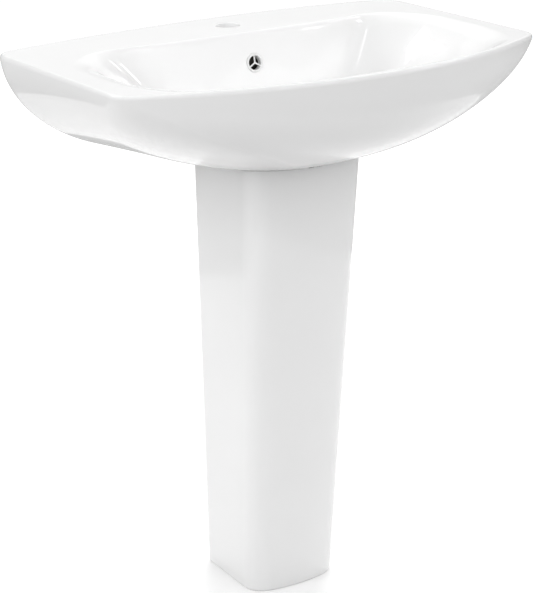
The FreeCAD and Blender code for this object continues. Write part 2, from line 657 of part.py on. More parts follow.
def outlet_pipe():
    start = DRAIN_Y + TRAP_R
    length = WALL_Y - start
    stop = Part.makeCylinder(STOP_R, STOP_T, V(0, 0, length - STOP_FROM_END - STOP_T))
    pipe = Part.makeCylinder(PIPE_R, length).fuse(stop).cut(Part.makeCylinder(PIPE_R - PIPE_WALL, length))
    return along_y(pipe.removeSplitter(), start, OUTLET_Z)


PARTS = {
    "basin": basin,
    "pedestal": pedestal,
    "pedestal_pads": pedestal_pads,
    "overflow_ring": overflow_ring,
    "wall_bushes": wall_bushes,
    "waste_body": waste_body,
    "waste_top_seal": waste_top_seal,
    "waste_under_washer": waste_under_washer,
    "waste_backnut": waste_backnut,
    "plug_cartridge": plug_cartridge,
    "plug_stem": plug_stem,
    "plug_cap": plug_cap,
    "plug_seal": plug_seal,
    "inlet_nut": inlet_nut,
    "inlet_washer": inlet_washer,
    "inlet_tube": inlet_tube,
    "trap_nut": trap_nut,
    "trap_washer": trap_washer,
    "trap_head": trap_head,
    "trap_cup": trap_cup,
    "cup_seal": cup_seal,
    "outlet_nut": outlet_nut,
    "outlet_washer": outlet_washer,
    "outlet_pipe": outlet_pipe,
}


def main():
    os.makedirs("parts", exist_ok=True)
    for name, make in PARTS.items():
        shape = make()
        print(f"{name:20s} solids {len(shape.Solids)} valid {shape.isValid()} cm3 {shape.Volume / 1000:8.2f}")
        shape.exportStep("parts/" + name + ".step")


main()
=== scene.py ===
"""Pedestal sink in glazed vitreous china, with its overflow ring, waste and bottle trap.

Laid out as an add-on: property groups for sizes and finishes, one operator for each piece or
group of like pieces, a panel that lists them.  Lengths in the functions below are millimetres in
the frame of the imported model; meshes are written in metres.  X runs along the wall, the wall is at
+Y, the floor is z = 0.
"""

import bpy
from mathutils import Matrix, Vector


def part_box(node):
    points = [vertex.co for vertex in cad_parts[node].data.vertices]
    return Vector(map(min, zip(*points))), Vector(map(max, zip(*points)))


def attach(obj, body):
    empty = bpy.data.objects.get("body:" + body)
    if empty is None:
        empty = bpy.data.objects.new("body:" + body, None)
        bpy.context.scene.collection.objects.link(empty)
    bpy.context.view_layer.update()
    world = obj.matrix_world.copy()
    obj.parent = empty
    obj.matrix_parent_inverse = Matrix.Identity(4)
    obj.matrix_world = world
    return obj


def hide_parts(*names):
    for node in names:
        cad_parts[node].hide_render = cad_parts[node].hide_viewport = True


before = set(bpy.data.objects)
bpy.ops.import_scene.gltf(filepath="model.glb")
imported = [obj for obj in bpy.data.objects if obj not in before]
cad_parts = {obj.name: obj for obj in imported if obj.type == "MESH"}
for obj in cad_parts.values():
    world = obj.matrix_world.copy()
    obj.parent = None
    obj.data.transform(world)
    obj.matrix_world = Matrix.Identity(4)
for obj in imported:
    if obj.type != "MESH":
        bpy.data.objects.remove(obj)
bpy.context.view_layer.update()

import math
from contextlib import contextmanager
from types import SimpleNamespace

import bmesh
import bpy
import numpy as np
from mathutils import Matrix, Vector
from mathutils.bvhtree import BVHTree

bl_info = {
    "name": "Pedestal Sink",
    "version": (1, 0, 0),
    "blender": (4, 5, 0),
    "location": "View3D > Sidebar > Sink",
    "description": "Builds a ceramic basin on its pedestal, with waste and trap",
    "category": "Add Mesh",
}

MM = 0.001


def linear(hex_colour):
    """An sRGB hex colour as linear red, green and blue."""
    channels = [int(hex_colour[i:i + 2], 16) / 255 for i in (0, 2, 4)]
    return tuple(c / 12.92 if c <= 0.04045 else ((c + 0.055) / 1.055) ** 2.4 for c in channels)


def corners(node):
    """Lowest and highest corner of a CAD node, in millimetres."""
    low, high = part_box(node)
    return [c / MM for c in low], [c / MM for c in high]


# ---------------------------------------------------------------- sizes and finishes
def length(name, text, default):
    """A length in metres; its default is given in millimetres."""
    return bpy.props.FloatProperty(name=name, description=text, default=default * MM, min=0.0,
                                   unit="LENGTH", precision=4)


def colour(name, text, hex_colour):
    return bpy.props.FloatVectorProperty(name=name, description=text, default=linear(hex_colour),
                                         subtype="COLOR", size=3, min=0.0, max=1.0)


class SinkSizes(bpy.types.PropertyGroup):
    """Sizes of the china and its rounded edges."""
    width: length("Width", "Basin, side to side", 702.0)
    depth: length("Depth", "Basin, wall to the foremost point of the rim", 467.0)
    rim_height: length("Rim height", "Top of the rim at the wall, above the floor", 830.0)
    front_rise: length("Front rise", "How much the rim climbs from the wall to the front", 10.0)
    crown: length("Crown", "How much lower the rim's ends lie than its middle", 8.5)
    bow: length("Bow", "How far the curved front stands beyond its corners", 119.1)
    hull_drop: length("Hull drop", "From the rim at the wall to the flat underside", 168.0)
    bowl_depth: length("Bowl depth", "From the rim at the wall to the drain", 145.0)
    lip_round: length("Lip rounding", "Reach of the rounding along the rim's outer edge", 7.0)
    edge_round_back: length("Back edge rounding", "Bowl's top edge below the tap ledge", 5.0)
    edge_round_side: length("Side edge rounding", "Bowl's top edge at its two ends", 20.0)
    edge_round_front: length("Front edge rounding", "Bowl's top edge along the front lip", 8.0)


class SinkFinish(bpy.types.PropertyGroup):
    """Colours of the finishes."""
    glaze: colour("Glaze", "White glaze over vitreous china", "F3F3F3")
    biscuit: colour("Biscuit", "Unglazed china, where a piece stood in the kiln", "D9D4C9")
    chrome: colour("Chrome", "Polished chrome plate", "D9DBDD")
    brass: colour("Brass", "Machined brass", "C9A961")
    steel: colour("Steel", "Turned steel", "AEB0B2")
    rubber: colour("Rubber", "Black rubber seals", "1C1C1D")
    plastic: colour("Plastic", "White moulded polypropylene", "ECECEA")
    nylon: colour("Nylon", "White nylon bushes", "E4E3DE")
    floor: colour("Floor", "Pale floor", "DEDEDE")


def sizes():
    """The panel's sizes in millimetres, with what follows from them."""
    group = bpy.context.scene.sink_sizes
    s = SimpleNamespace(**{key: getattr(group, key) / MM for key in SinkSizes.__annotations__})
    s.half = s.width / 2
    s.drain_z = s.rim_height - s.bowl_depth
    s.seat_z = s.rim_height - s.hull_drop
    return s


# ---------------------------------------------------------------- curves that shape the china
WALL_Y = corners("basin")[1][1]
FRONT_Y = -WALL_Y
DRAIN_Y = sum(corner[1] for corner in corners("waste_body")) / 2
RING_COUNTS = (26, 12, 34, 26, 66)     # wall, rear corner, side, front corner, half the bow
HOLLOW_COUNTS = (10, 5, 12, 9, 20)
REAR_CORNER, FRONT_CORNER = 27.0, 18.0
SEAT_REAR, SEAT_FRONT, SEAT_ROUND = 0.22, 0.085, 0.25    # the flat underside, shares of the width
SEAT_BACK, SEAT_BOW = 0.456, 0.0125                      # and shares of the depth
REAR_FALL, FRONT_FALL, PULL_FALL = (1.98, 1.64), (1.88, 1.26), (2.99, 1.06)
SIDE_LAND, FRONT_LAND, LEDGE_MIDDLE, LEDGE_SIDE = 44.0, 19.0, 128.0, 84.0
LEDGE_SPREAD = 0.3                     # half of the ledge's wider middle, a share of the width
REAR_POWER, FRONT_POWER, WALL_POWER = 3.4, 2.77, 2.2     # squareness of the bowl
DISH_R, DRAIN_HOLE_R, BOSS_R = 33.0, 22.5, 38.0
SHELL, LAND, DECK, BACK_PANEL = 8.25, 12.0, 14.0, 12.0
BOWL_WALL, BOWL_FLOOR = 10.0, 9.0
LOWEST = 0.998                         # share of the hull's drop at which its skin ends
# The third slot is painted shade: the duct, drain, overflow bore and bolt holes are painted nearly
# black for the shade inside them.
OUTSIDE, INSIDE, PAINTED_SHADE, KILN = range(4)  # the china's slots: glazed, thinly glazed, duct, kiln faces


def fall(share, curve):
    """1 at the rim, 0 at the bottom, rounded by the curve's power and root."""
    power, root = curve
    return max(0.0, 1.0 - share ** power) ** (1.0 / root)


def conic(t, start, corner, end, weight):
    """Points on a conic that rounds a corner off."""
    a, b, c = (1 - t) ** 2, 2 * weight * t * (1 - t), t ** 2
    return (a * start + b * corner + c * end) / (a + b + c)


def bend(start, corner, end, steps, weight):
    """Points that round a corner off, both ends included."""
    return conic(np.linspace(0.0, 1.0, steps + 1)[:, None], start, corner, end, weight)


def rounded(start, corner, end, steps):
    """Rings that round an edge off, from start to end without either."""
    return conic((np.arange(1, steps) / steps)[:, None, None], start, corner, end, 0.8)


def walk(start, end, steps):
    """Points from start to end, the last one left out."""
    t = np.arange(steps)[:, None] / steps
    return start * (1 - t) + end * t


def half_shield(rear, front, corner_y, bow, rounding, rear_round, rear_y, counts, start=0.0):
    """Half a plan outline: along the wall from x = start, down one side, round the bowed front."""
    wall_count, turn_count, side_count, corner_count, bow_count = counts
    wall_corner, corner = np.array([rear, rear_y]), np.array([front, corner_y])
    side = np.linalg.norm(wall_corner - corner)
    along_side = (wall_corner - corner) / side
    # a soft minimum keeps the rounding within the side and the front
    cut = sum(reach ** -6 for reach in (rounding, 0.48 * side, 0.6 * front)) ** (-1 / 6)
    x_cut = front - cut
    x = x_cut * (1 - np.arange(bow_count + 1) / bow_count)
    bowed = np.column_stack([x, corner_y - bow * (1 - (x / front) ** 2)])
    wall_start = np.array([rear - rear_round, rear_y])
    side_start, side_end = wall_corner - along_side * rear_round, corner + along_side * cut
    return np.vstack([walk(np.array([start, rear_y]), wall_start, wall_count),
                      bend(wall_start, wall_corner, side_start, turn_count, 0.707)[:-1],
                      walk(side_start, side_end, side_count),
                      bend(side_end, corner, bowed[0], corner_count, 1.0)[:-1],
                      bowed])


def mirrored(half):
    """The left half that belongs to a right half, from the front back to the wall."""
    return half[::-1] * (-1, 1)


def rim_surface(s, x, y):
    """Height of the crowned rim, which climbs towards the front."""
    climb = s.front_rise * (WALL_Y - y) / s.depth
    return s.rim_height + climb - s.crown * (x / s.half) ** 2


def hull_outline(s, share, inset=0.0, rear_y=WALL_Y, counts=RING_COUNTS):
    """Closed plan outline of the hull at a share of the way down, clockwise seen from above."""
    width, depth, share = s.width, s.depth, min(1.0, max(0.0, share))
    rear = SEAT_REAR * width + (s.half - SEAT_REAR * width) * fall(share, REAR_FALL)
    front = SEAT_FRONT * width + (s.half - SEAT_FRONT * width) * fall(share, FRONT_FALL)
    pull = fall(share, PULL_FALL)
    seat_y = FRONT_Y + SEAT_BACK * depth
    corner_y = seat_y + (FRONT_Y + s.bow - seat_y) * pull
    bow = SEAT_BOW * depth + (s.bow - SEAT_BOW * depth) * pull
    rounding = FRONT_CORNER + (SEAT_ROUND * width - FRONT_CORNER) * share
    half = half_shield(rear - inset, front - 0.8 * inset, corner_y + inset, bow, rounding,
                       REAR_CORNER - inset, rear_y, counts)
    return np.vstack([half, mirrored(half)[1:-1]])


def bowl_reach(s, angle):
    """Distance from the drain to the bowl's top edge in each plan direction."""
    dx, dy = np.cos(angle), np.sin(angle)
    half, front = s.half - SIDE_LAND, DRAIN_Y - FRONT_Y - FRONT_LAND
    side_rear = WALL_Y - LEDGE_SIDE - DRAIN_Y
    rear = np.full_like(angle, side_rear)
    for _ in range(12):
        x = np.minimum(np.abs(dx) * rear / np.maximum(dy, 1e-6), half)
        wide = np.exp(-(x / (LEDGE_SPREAD * s.width)) ** 4)
        rear = side_rear - (LEDGE_MIDDLE - LEDGE_SIDE) * wide
    power, reach = np.where(dy > 0, REAR_POWER, FRONT_POWER), np.where(dy > 0, rear, front)
    return ((np.abs(dx) / half) ** power + (np.abs(dy) / reach) ** power) ** (-1 / power)


def bowl_radius(s, angle, depth):
    """Plan radius of the bowl round the drain at a depth below the rim at the wall."""
    share = np.clip(depth / s.bowl_depth, 0.0, 1.0)
    slack = 0.55 + 0.35 * np.cos(angle) ** 2          # how much the wall leans in half way down
    spread = (1 - share ** WALL_POWER) ** (1 / WALL_POWER) - slack * share * (1 - share)
    return DISH_R + (bowl_reach(s, angle) - DISH_R) * spread


def bowl_point(s, angle, depth, grow=0.0, drop=0.0):
    """Points of the bowl, whose level lines tilt with the rim and flatten towards the drain."""
    radius = bowl_radius(s, angle, depth) + grow
    x, y = radius * np.cos(angle), DRAIN_Y + radius * np.sin(angle)
    climb = s.front_rise / s.depth * (1 - np.clip(depth / s.bowl_depth, 0.0, 1.0))
    return np.stack([x, y, s.rim_height - depth - drop + climb * (WALL_Y - y)], axis=-1)


def ways(paths):
    """Arc length from the start of each path to each of its points: paths is (steps, count, 3)."""
    steps = np.linalg.norm(np.diff(paths, axis=0), axis=2)
    return np.vstack([np.zeros(steps.shape[1]), np.cumsum(steps, axis=0)])


def along(paths, marks):
    """Points at given arc lengths on many paths: marks is (rings, count)."""
    way, made = ways(paths), np.empty((len(marks), *paths.shape[1:]))
    for i, axis in np.ndindex(paths.shape[1:]):
        made[:, i, axis] = np.interp(marks[:, i], way[:, i], paths[:, i, axis])
    return made


def sideways(line):
    """Unit normals of a closed plan line, all on one side of it."""
    ahead = np.roll(line, -1, axis=0) - np.roll(line, 1, axis=0)
    return np.column_stack([ahead[:, 1], -ahead[:, 0]]) / np.linalg.norm(ahead, axis=1)[:, None]


# ---------------------------------------------------------------- meshes
@contextmanager
def editing(mesh):
    """The mesh as an editable one, written back at the end."""
    work = bmesh.new()
    work.from_mesh(mesh)
    yield work
    work.to_mesh(mesh)
    work.free()


def clean(work):
    """Takes out faces without area, pairs of faces that lie on one another, and loose edges."""
    bmesh.ops.dissolve_degenerate(work, edges=work.edges, dist=0.001 * MM)
    alike = {}
    for face in work.faces:
        alike.setdefault(frozenset(face.verts), []).append(face)
    twins = [face for same in alike.values() if len(same) > 1 for face in same]
    bmesh.ops.delete(work, geom=twins, context="FACES")
    loose = [edge for edge in work.edges if not edge.link_faces]
    bmesh.ops.delete(work, geom=loose, context="EDGES")


def mesh_from(name, points, faces):
    """A mesh in metres from points in millimetres, its faces turned outwards."""
    mesh = bpy.data.meshes.new(name)
    mesh.from_pydata((np.asarray(points) * MM).tolist(), [], faces)
    with editing(mesh) as work:
        bmesh.ops.remove_doubles(work, verts=work.verts, dist=0.002 * MM)
        clean(work)
        bmesh.ops.recalc_face_normals(work, faces=work.faces)
        if work.calc_volume(signed=True) < 0:
            bmesh.ops.reverse_faces(work, faces=work.faces)
    return mesh


def grid_faces(rings, count, loop=False):
    """Quads between closed rings that have the same number of points."""
    starts = [(r * count, (r + 1) % rings * count) for r in range(rings if loop else rings - 1)]
    pairs = [(i, (i + 1) % count) for i in range(count)]
    return [(a + i, a + j, b + j, b + i) for a, b in starts for i, j in pairs]


def closed_stack(name, rings, first, last):
    """A closed skin: rings stacked from first point to last point."""
    rings = np.asarray(rings)
    levels, count = rings.shape[:2]
    faces = grid_faces(levels, count)
    top, low = levels * count, (levels - 1) * count
    for i in range(count):
        j = (i + 1) % count
        faces += [(top, j, i), (top + 1, low + i, low + j)]
    return mesh_from(name, np.vstack([rings.reshape(-1, 3), [first, last]]), faces)


def place(name, mesh, materials=()):
    """Shows a mesh as an object at the frame's origin."""
    made = bpy.data.objects.new(name, mesh)
    for material in materials:
        mesh.materials.append(material)
    bpy.context.scene.collection.objects.link(made)
    return made


def taken(obj):
    """The object's mesh, with the object itself removed."""
    mesh = obj.data
    bpy.data.objects.remove(obj)
    return mesh


def carve(target, tools, operation="DIFFERENCE", slot=OUTSIDE):
    """Cuts each tool mesh out of the target, or joins it on; new faces take the material slot."""
    for tool in tools:
        tool.polygons.foreach_set("material_index", np.full(len(tool.polygons), slot, np.int32))
        other = place("tool", tool)
        step = target.modifiers.new("carve", "BOOLEAN")
        step.object, step.operation, step.solver = other, operation, "MANIFOLD"
        bpy.context.view_layer.update()
        shown = target.evaluated_get(bpy.context.evaluated_depsgraph_get())
        made = bpy.data.meshes.new_from_object(shown)
        target.modifiers.clear()
        if len(made.polygons) < 12:
            raise RuntimeError(f"{target.name}: carving left nothing")
        old, target.data = target.data, made
        bpy.data.meshes.remove(old)
        bpy.data.meshes.remove(taken(other))
    with editing(target.data) as work:
        clean(work)
    return target


def soften(points, reach, steps=4):
    """A closed profile with its corners rounded; reach is one number or one for each corner."""
    points = [np.asarray(p, float) for p in points]
    reaches = reach if isinstance(reach, list) else [reach] * len(points)
    made = []
    for i, (point, far) in enumerate(zip(points, reaches)):
        if far <= 0:
            made.append(point)
            continue
        start, end = (point + (other - point) * min(0.49, far / np.linalg.norm(other - point))
                      for other in (points[i - 1], points[(i + 1) % len(points)]))
        made += list(bend(start, point, end, steps, 0.75))
    return np.array(made)


def slab(x0, y0, x1, y1, reach, steps=4):
    """A plan rectangle with rounded corners, from its low left corner anticlockwise."""
    return soften([(x0, y0), (x1, y0), (x1, y1), (x0, y1)], reach, steps)


def turned(name, profile, count=96, shape=None):
    """A piece turned about the vertical: profile is a closed line of (radius, height) points.

    shape(angle, radius, height) may change the radius, for ribs and flats.
    """
    profile = np.asarray(profile, float)
    angles = 2 * math.pi * np.arange(count) / count
    radius = np.repeat(profile[:, :1], count, axis=1)
    height = np.repeat(profile[:, 1:], count, axis=1)
    if shape:
        radius = shape(angles[None, :], radius, height)
    points = np.stack([radius * np.cos(angles), radius * np.sin(angles), height], axis=-1)
    return mesh_from(name, points.reshape(-1, 3), grid_faces(len(profile), count, loop=True))


def turn(degrees, axis):
    return Matrix.Rotation(math.radians(degrees), 4, axis)


def moved(mesh, offset, turning=None):
    """Moves a mesh by millimetres, after turning it."""
    mesh.transform(Matrix.Translation(Vector(offset) * MM) @ (turning or Matrix.Identity(4)))
    return mesh


def pin(radius, low, high, count=96):
    """A plain round cutter about the vertical."""
    return turned("pin", [(0, low), (radius, low), (radius, high), (0, high)], count)


def rod(radius, low, high):
    """A plain round cutter on the drain's axis."""
    return moved(pin(radius, low, high), (0, DRAIN_Y, 0))


def mouth(radius, low, high, flare, count=96):
    """A round cutter that leaves the edge at its top, at z = 0, rounded."""
    arc = [(radius + flare * (1 - math.cos(a)), -flare * (1 - math.sin(a)))
           for a in np.radians(np.linspace(0, 78, 9))]
    wide = arc[-1][0] + 0.3 * flare
    return turned("mouth", [(0, low), (radius, low), *arc, (wide, high), (0, high)], count)


def pocket(outline, levels):
    """A cutter whose plan outline grows by the second number of each (height, growth) pair."""
    centre, normal = outline.mean(axis=0), sideways(outline)
    normal *= np.sign(((outline - centre) * normal).sum(axis=1).mean())
    rings = [np.column_stack([outline + normal * grow, np.full(len(outline), z)])
             for z, grow in levels]
    return closed_stack("pocket", rings, (*centre, levels[0][0]), (*centre, levels[-1][0]))


ALONG_Y = turn(-90, "X")               # lays a turned piece along +Y


# ---------------------------------------------------------------- basin
HULL_TURN = 0.2                        # share of the drop from which the hull's levels close up
HULL_LEVELS, HULL_RINGS, LIP_RINGS = (25, 150), 54, 16   # levels are measured, rings are shown
BOWL_LEVELS, BOWL_RINGS, EDGE_RINGS, LAND_RINGS, CORE_LEVELS = 200, 66, 18, 12, 40
LIP_CUT = 0.55                         # how much smaller the lip's rounding is at the wall
TAP_HOLE_R, TAP_FROM_WALL = 17.5, 65.5
BOLT_X, BOLT_DROP, BOLT_HOLE_R = 140.0, 62.0, 8.0      # from the middle, below the rim
OVERFLOW_DROP, DUCT_HALF, DUCT_GAP, DUCT_HEAD, DUCT_SKIN = 41.0, 15.0, 10.0, 16.0, 8.0
SLOT_ABOVE_SEAT, SLOT_HEIGHT = 6.0, 9.0
OVERFLOW_R, RING_SEAT_R, RING_SEAT_WIDE_R, OVERFLOW_REACH = 11.9, 14.3, 16.5, 17.0
HATCH_HALF, HATCH_AHEAD, WINDOW_HALF, WINDOW_DROP = 66.0, 50.0, 130.0, 95.0
PAST = 20.0                            # how far a cutter stands past what it cuts
NEAR, FACING = 0.3, 0.95               # how far off a plane and how straight a kiln face is


def rim_line(s, table, shares):
    """The line in which the hull meets the rim's surface, and its share of the way down."""
    rim = table[np.searchsorted(shares, HULL_TURN)]
    for _ in range(4):
        share = (s.rim_height - rim_surface(s, rim[:, 0], rim[:, 1])) / s.hull_drop
        rim = np.stack([[np.interp(part, shares, table[:, i, axis]) for axis in (0, 1)]
                        for i, part in enumerate(share)])
    return on_rim(s, rim), share


def on_rim(s, points):
    """The points, flat or not, brought to the height of the rim's surface."""
    return np.concatenate([points[..., :2], rim_surface(s, points[..., :1], points[..., 1:2])], -1)


def bowl_start(s, angle):
    """Depth below the rim at the wall at which the bowl's wall meets the crowned rim."""
    depth = np.zeros(len(angle))
    for _ in range(8):
        radius = bowl_radius(s, angle, depth)
        x, y = radius * np.cos(angle), DRAIN_Y + radius * np.sin(angle)
        climb = s.front_rise / s.depth * depth / s.bowl_depth * (WALL_Y - y)
        depth = np.maximum(0.0, s.crown / s.half ** 2 * x ** 2 - climb)
    return depth


def closing_up(count):
    """Shares from 0 to 1 in steps that shorten towards the end, where the bowl's wall turns in."""
    return 1 - (1 - np.linspace(0.0, 1.0, count)) ** WALL_POWER


def basin_block(s):
    """The basin's outside and its bowl as one closed skin, without holes or hollow underside."""
    curve = np.sin(np.linspace(0, math.pi / 2, HULL_LEVELS[1]))
    shares = np.concatenate([np.linspace(-0.1, HULL_TURN, HULL_LEVELS[0])[:-1],
                             HULL_TURN + (LOWEST - HULL_TURN) * curve])
    table = np.stack([hull_outline(s, share) for share in shares])          # (levels, count, 2)
    count = table.shape[1]
    level = s.rim_height - np.repeat(shares[:, None], count, axis=1) * s.hull_drop
    paths = np.concatenate([table, level[..., None]], axis=2)
    rim, share = rim_line(s, table, shares)

    inward = sideways(rim[:, :2])
    inward *= np.sign((inward * (np.array([0.0, DRAIN_Y]) - rim[:, :2])).sum(axis=1))[:, None]
    at_wall = np.clip((-inward[:, 1] - 0.2) / 0.8, 0.0, 1.0)
    reach = s.lip_round * (1 - LIP_CUT * at_wall)

    # hull: from below the lip down to the flat underside
    way = ways(paths)
    start = np.array([np.interp(share[i], shares, way[:, i]) for i in range(count)]) + reach
    hull = along(paths, start + (way[-1] - start) * np.linspace(0.0, 1.0, HULL_RINGS)[:, None])
    land_start = on_rim(s, rim[:, :2] + inward * reach[:, None])
    lip = rounded(land_start, rim, hull[0], LIP_RINGS)

    # bowl: where its wall meets the rim surface, then down to the drain's flat
    angle = np.arctan2(rim[:, 1] - DRAIN_Y, rim[:, 0])
    depth = bowl_start(s, angle)
    wall = np.stack([bowl_point(s, angle, row) for row in
                     depth + (s.bowl_depth - depth) * closing_up(BOWL_LEVELS)[:, None]])
    side, front = np.cos(angle) ** 2, np.maximum(0.0, -np.sin(angle)) ** 2
    back = np.maximum(0.0, np.sin(angle)) ** 2
    edge = (s.edge_round_side * side + s.edge_round_front * front
            + s.edge_round_back * back)
    bowl = along(wall, edge + (ways(wall)[-1] - edge) * np.linspace(0.0, 1.0, BOWL_RINGS)[:, None])
    outwards = np.column_stack([np.cos(angle), np.sin(angle)])
    land_room = np.linalg.norm(land_start[:, :2] - wall[0][:, :2], axis=1)
    land_end = on_rim(s, wall[0][:, :2] + outwards * np.minimum(edge, 0.6 * land_room)[:, None])
    edge_rings = rounded(bowl[0], wall[0], land_end, EDGE_RINGS)

    t = np.linspace(0.0, 1.0, LAND_RINGS)[:, None, None]
    land = on_rim(s, land_end * (1 - t) + land_start * t)
    drain = np.array([0.0, DRAIN_Y, s.drain_z])
    dish = drain + (bowl[-1] - drain) * 0.85
    seat = hull[-1]
    centre = np.array([0.0, 110.0, seat[0, 2]])
    under = [centre + (seat - centre) * part for part in (0.97, 0.85, 0.6, 0.3)]
    rings = np.concatenate([[dish], bowl[::-1], edge_rings, land, lip, hull, under])
    return closed_stack("basin_block", rings, drain, centre)


def basin_hollow(s):
    """The space under the deck, between the hull's skin and the back panel."""
    def outline(share):
        return hull_outline(s, share, SHELL, WALL_Y - BACK_PANEL, HOLLOW_COUNTS)

    first = outline(0.16)
    top = on_rim(s, first)[:, 2] - DECK
    start = (s.rim_height - top + LAND) / s.hull_drop
    rings = []
    for step in np.linspace(0.0, 1.0, 20):
        share = start + (LOWEST - start) * math.sin(step * math.pi / 2)
        picked = [outline(value)[i] for i, value in enumerate(share)]
        rings.append(np.column_stack([picked, s.rim_height - share * s.hull_drop + LAND]))
    centre = np.array([[0.0, 100.0]])
    cap = [on_rim(s, centre + (rings[0][:, :2] - centre) * share) - (0, 0, DECK)
           for share in (0.3, 0.6, 0.85)]
    middle = (on_rim(s, centre) - (0, 0, DECK))[0]
    low = (0.0, 110.0, rings[-1][0, 2])
    return closed_stack("hollow", np.concatenate([cap, rings]), middle, low)


def bowl_core(s):
    """The bowl grown by its wall's thickness, which the hollow leaves standing."""
    angle = 2 * math.pi * np.arange(120) / 120
    rings = [bowl_point(s, angle, np.full_like(angle, s.bowl_depth * share), BOWL_WALL, BOWL_FLOOR)
             for share in closing_up(CORE_LEVELS)]
    rings.insert(0, rings[0] + (0, 0, 3 * BOWL_FLOOR))
    return closed_stack("core", rings, *((0.0, DRAIN_Y, rings[i][0, 2]) for i in (0, -1)))


def bowl_back_y(s, z):
    """The bowl's surface behind the drain, in the middle of the basin."""
    radius = bowl_radius(s, np.array([math.pi / 2]), np.array([s.rim_height - z]))
    return DRAIN_Y + float(radius[0])


def overflow_duct(s, skin=0.0):
    """The overflow's duct behind the bowl, or with a skin the china round it."""
    near, far = (0.0 if skin else BOWL_FLOOR), BOWL_FLOOR + DUCT_GAP + skin
    top = s.rim_height - OVERFLOW_DROP + DUCT_HEAD + skin
    low, half = s.seat_z + SLOT_ABOVE_SEAT - 0.4 * skin, DUCT_HALF + skin
    heights = np.linspace(low + SLOT_HEIGHT, top, 14)
    line = [(bowl_back_y(s, z) + near, z) for z in heights]
    line += [(bowl_back_y(s, z) + far, z) for z in heights[::-1]]
    line += [(line[-1][0], low), (DRAIN_Y, low), (DRAIN_Y, low + SLOT_HEIGHT)]
    count = len(line)
    points = [(x, y, z) for x in (-half, half) for y, z in line]
    faces = [(i, (i + 1) % count, count + (i + 1) % count, count + i) for i in range(count)]
    faces += [tuple(range(count)), tuple(range(2 * count - 1, count - 1, -1))]
    return mesh_from("duct", points, faces)


def at_overflow(s, mesh):
    """Stands a turned piece on the bowl's back wall, its +Z into the bowl."""
    z = s.rim_height - OVERFLOW_DROP
    lean = math.atan2(bowl_back_y(s, z + 4) - bowl_back_y(s, z - 4), 8.0)
    return moved(mesh, (0, bowl_back_y(s, z), z), Matrix.Rotation(math.pi / 2 - lean, 4, "X"))


def basin_china(s, materials):
    """The whole basin: block, hollow underside, duct and holes."""
    seat_z, edge_z = s.seat_z, s.rim_height - LOWEST * s.hull_drop

    def core(drain_boss=True):
        """What the hollow spaces leave standing."""
        boss = [rod(BOSS_R, seat_z + 2.0, s.drain_z)] if drain_boss else []
        return [bowl_core(s), *boss, overflow_duct(s, DUCT_SKIN)]

    hatch = slab(-HATCH_HALF, DRAIN_Y - HATCH_AHEAD, HATCH_HALF, WALL_Y + PAST,
                 [18, 18, 0.5, 0.5], 8)
    hatch = pocket(hatch, [(seat_z + 18, 0), (edge_z + 3, 0), (edge_z + 1.2, 0.5),
                           (edge_z + 0.4, 1.2), (seat_z - PAST, 2.6)])
    window = slab(-WINDOW_HALF, seat_z - PAST, WINDOW_HALF, s.rim_height - WINDOW_DROP,
                  [0.5, 0.5, 16, 16], 8)
    window = pocket(window, [(BACK_PANEL + 6 - WALL_Y, 0), (2 - WALL_Y, 0), (0.8 - WALL_Y, 0.4),
                             (-WALL_Y, 1.2), (-WALL_Y - PAST, 3)])
    moved(window, (0, 0, 0), turn(90, "X"))
    spaces = [carve(place("hollow", basin_hollow(s)), core()),
              carve(place("hatch", hatch), core()),
              carve(place("window", window), core(drain_boss=False))]

    basin = place("basin_china", basin_block(s), materials)
    carve(basin, [taken(space) for space in spaces], slot=INSIDE)
    tilt = Matrix.Rotation(-math.atan(s.front_rise / s.depth), 4, "X")
    tap_y = WALL_Y - TAP_FROM_WALL
    tap = mouth(TAP_HOLE_R, -2 * PAST, PAST, 2.2)
    carve(basin, [moved(tap, (0, tap_y, rim_surface(s, 0.0, tap_y)), tilt)])
    drain = rod(DRAIN_HOLE_R, seat_z - PAST, s.rim_height)
    bore = pin(OVERFLOW_R, -OVERFLOW_REACH, OVERFLOW_REACH)
    # The duct, drain and overflow bore are painted nearly black as painted shade.
    carve(basin, [overflow_duct(s), drain, at_overflow(s, bore)], slot=PAINTED_SHADE)
    seat = turned("seat", soften([(0, 0), (RING_SEAT_R, 0), (RING_SEAT_WIDE_R, OVERFLOW_REACH),
                                  (0, OVERFLOW_REACH)], [0, 0.4, 0, 0]))
    carve(basin, [at_overflow(s, seat)])
    # The bolt holes take the same painted shade.
    carve(basin, [moved(mouth(BOLT_HOLE_R, -2 * PAST, PAST, 1.0),
                        (x, WALL_Y, s.rim_height - BOLT_DROP), ALONG_Y)
                  for x in (-BOLT_X, BOLT_X)], slot=PAINTED_SHADE)
    kiln_faces(basin, lambda spot, normal: spot.y > WALL_Y - NEAR and normal.y > FACING)
    kiln_faces(basin, lambda spot, normal: spot.z < edge_z + NEAR and normal.z < -FACING)
    return basin


def kiln_faces(obj, chosen):
    """Gives the unglazed finish to the faces that chosen(place in mm, normal) picks."""
    for face in obj.data.polygons:
        if chosen(face.center / MM, face.normal):
            face.material_index = KILN


# ---------------------------------------------------------------- pedestal
FOOT_FRONT_HALF, FOOT_REAR_HALF, FOOT_DEPTH, FOOT_BOW = 77.2, 71.0, 131.0, 13.1
FOOT_CORNER, PED_REAR_CORNER = 29.4, 4.0
SIDE_SPLAY, FRONT_SPLAY = 0.0303, 0.0522
PED_WALL, PED_RETURN, PAD_T = 11.0, 13.0, 2.0
PED_COUNTS = (5, 6, 26, 26, 22)
PED_REACH = 40.0                                # how far above the seat its lines are drawn
FOOT_ROLL, TOP_ROLL, LIP_GAP = 2.5, 0.7, 0.4    # edge roundings; outer lip's gap to the basin
TIP = 4.0                                       # rounding of the wall's two rear ends
LUG_HALF, LUG_OVER, LUG_TOP, LUG_HOLE_R = 15.0, 19.0, 12.0, 4.25
PED_REAR_Y = corners("pedestal")[1][1]


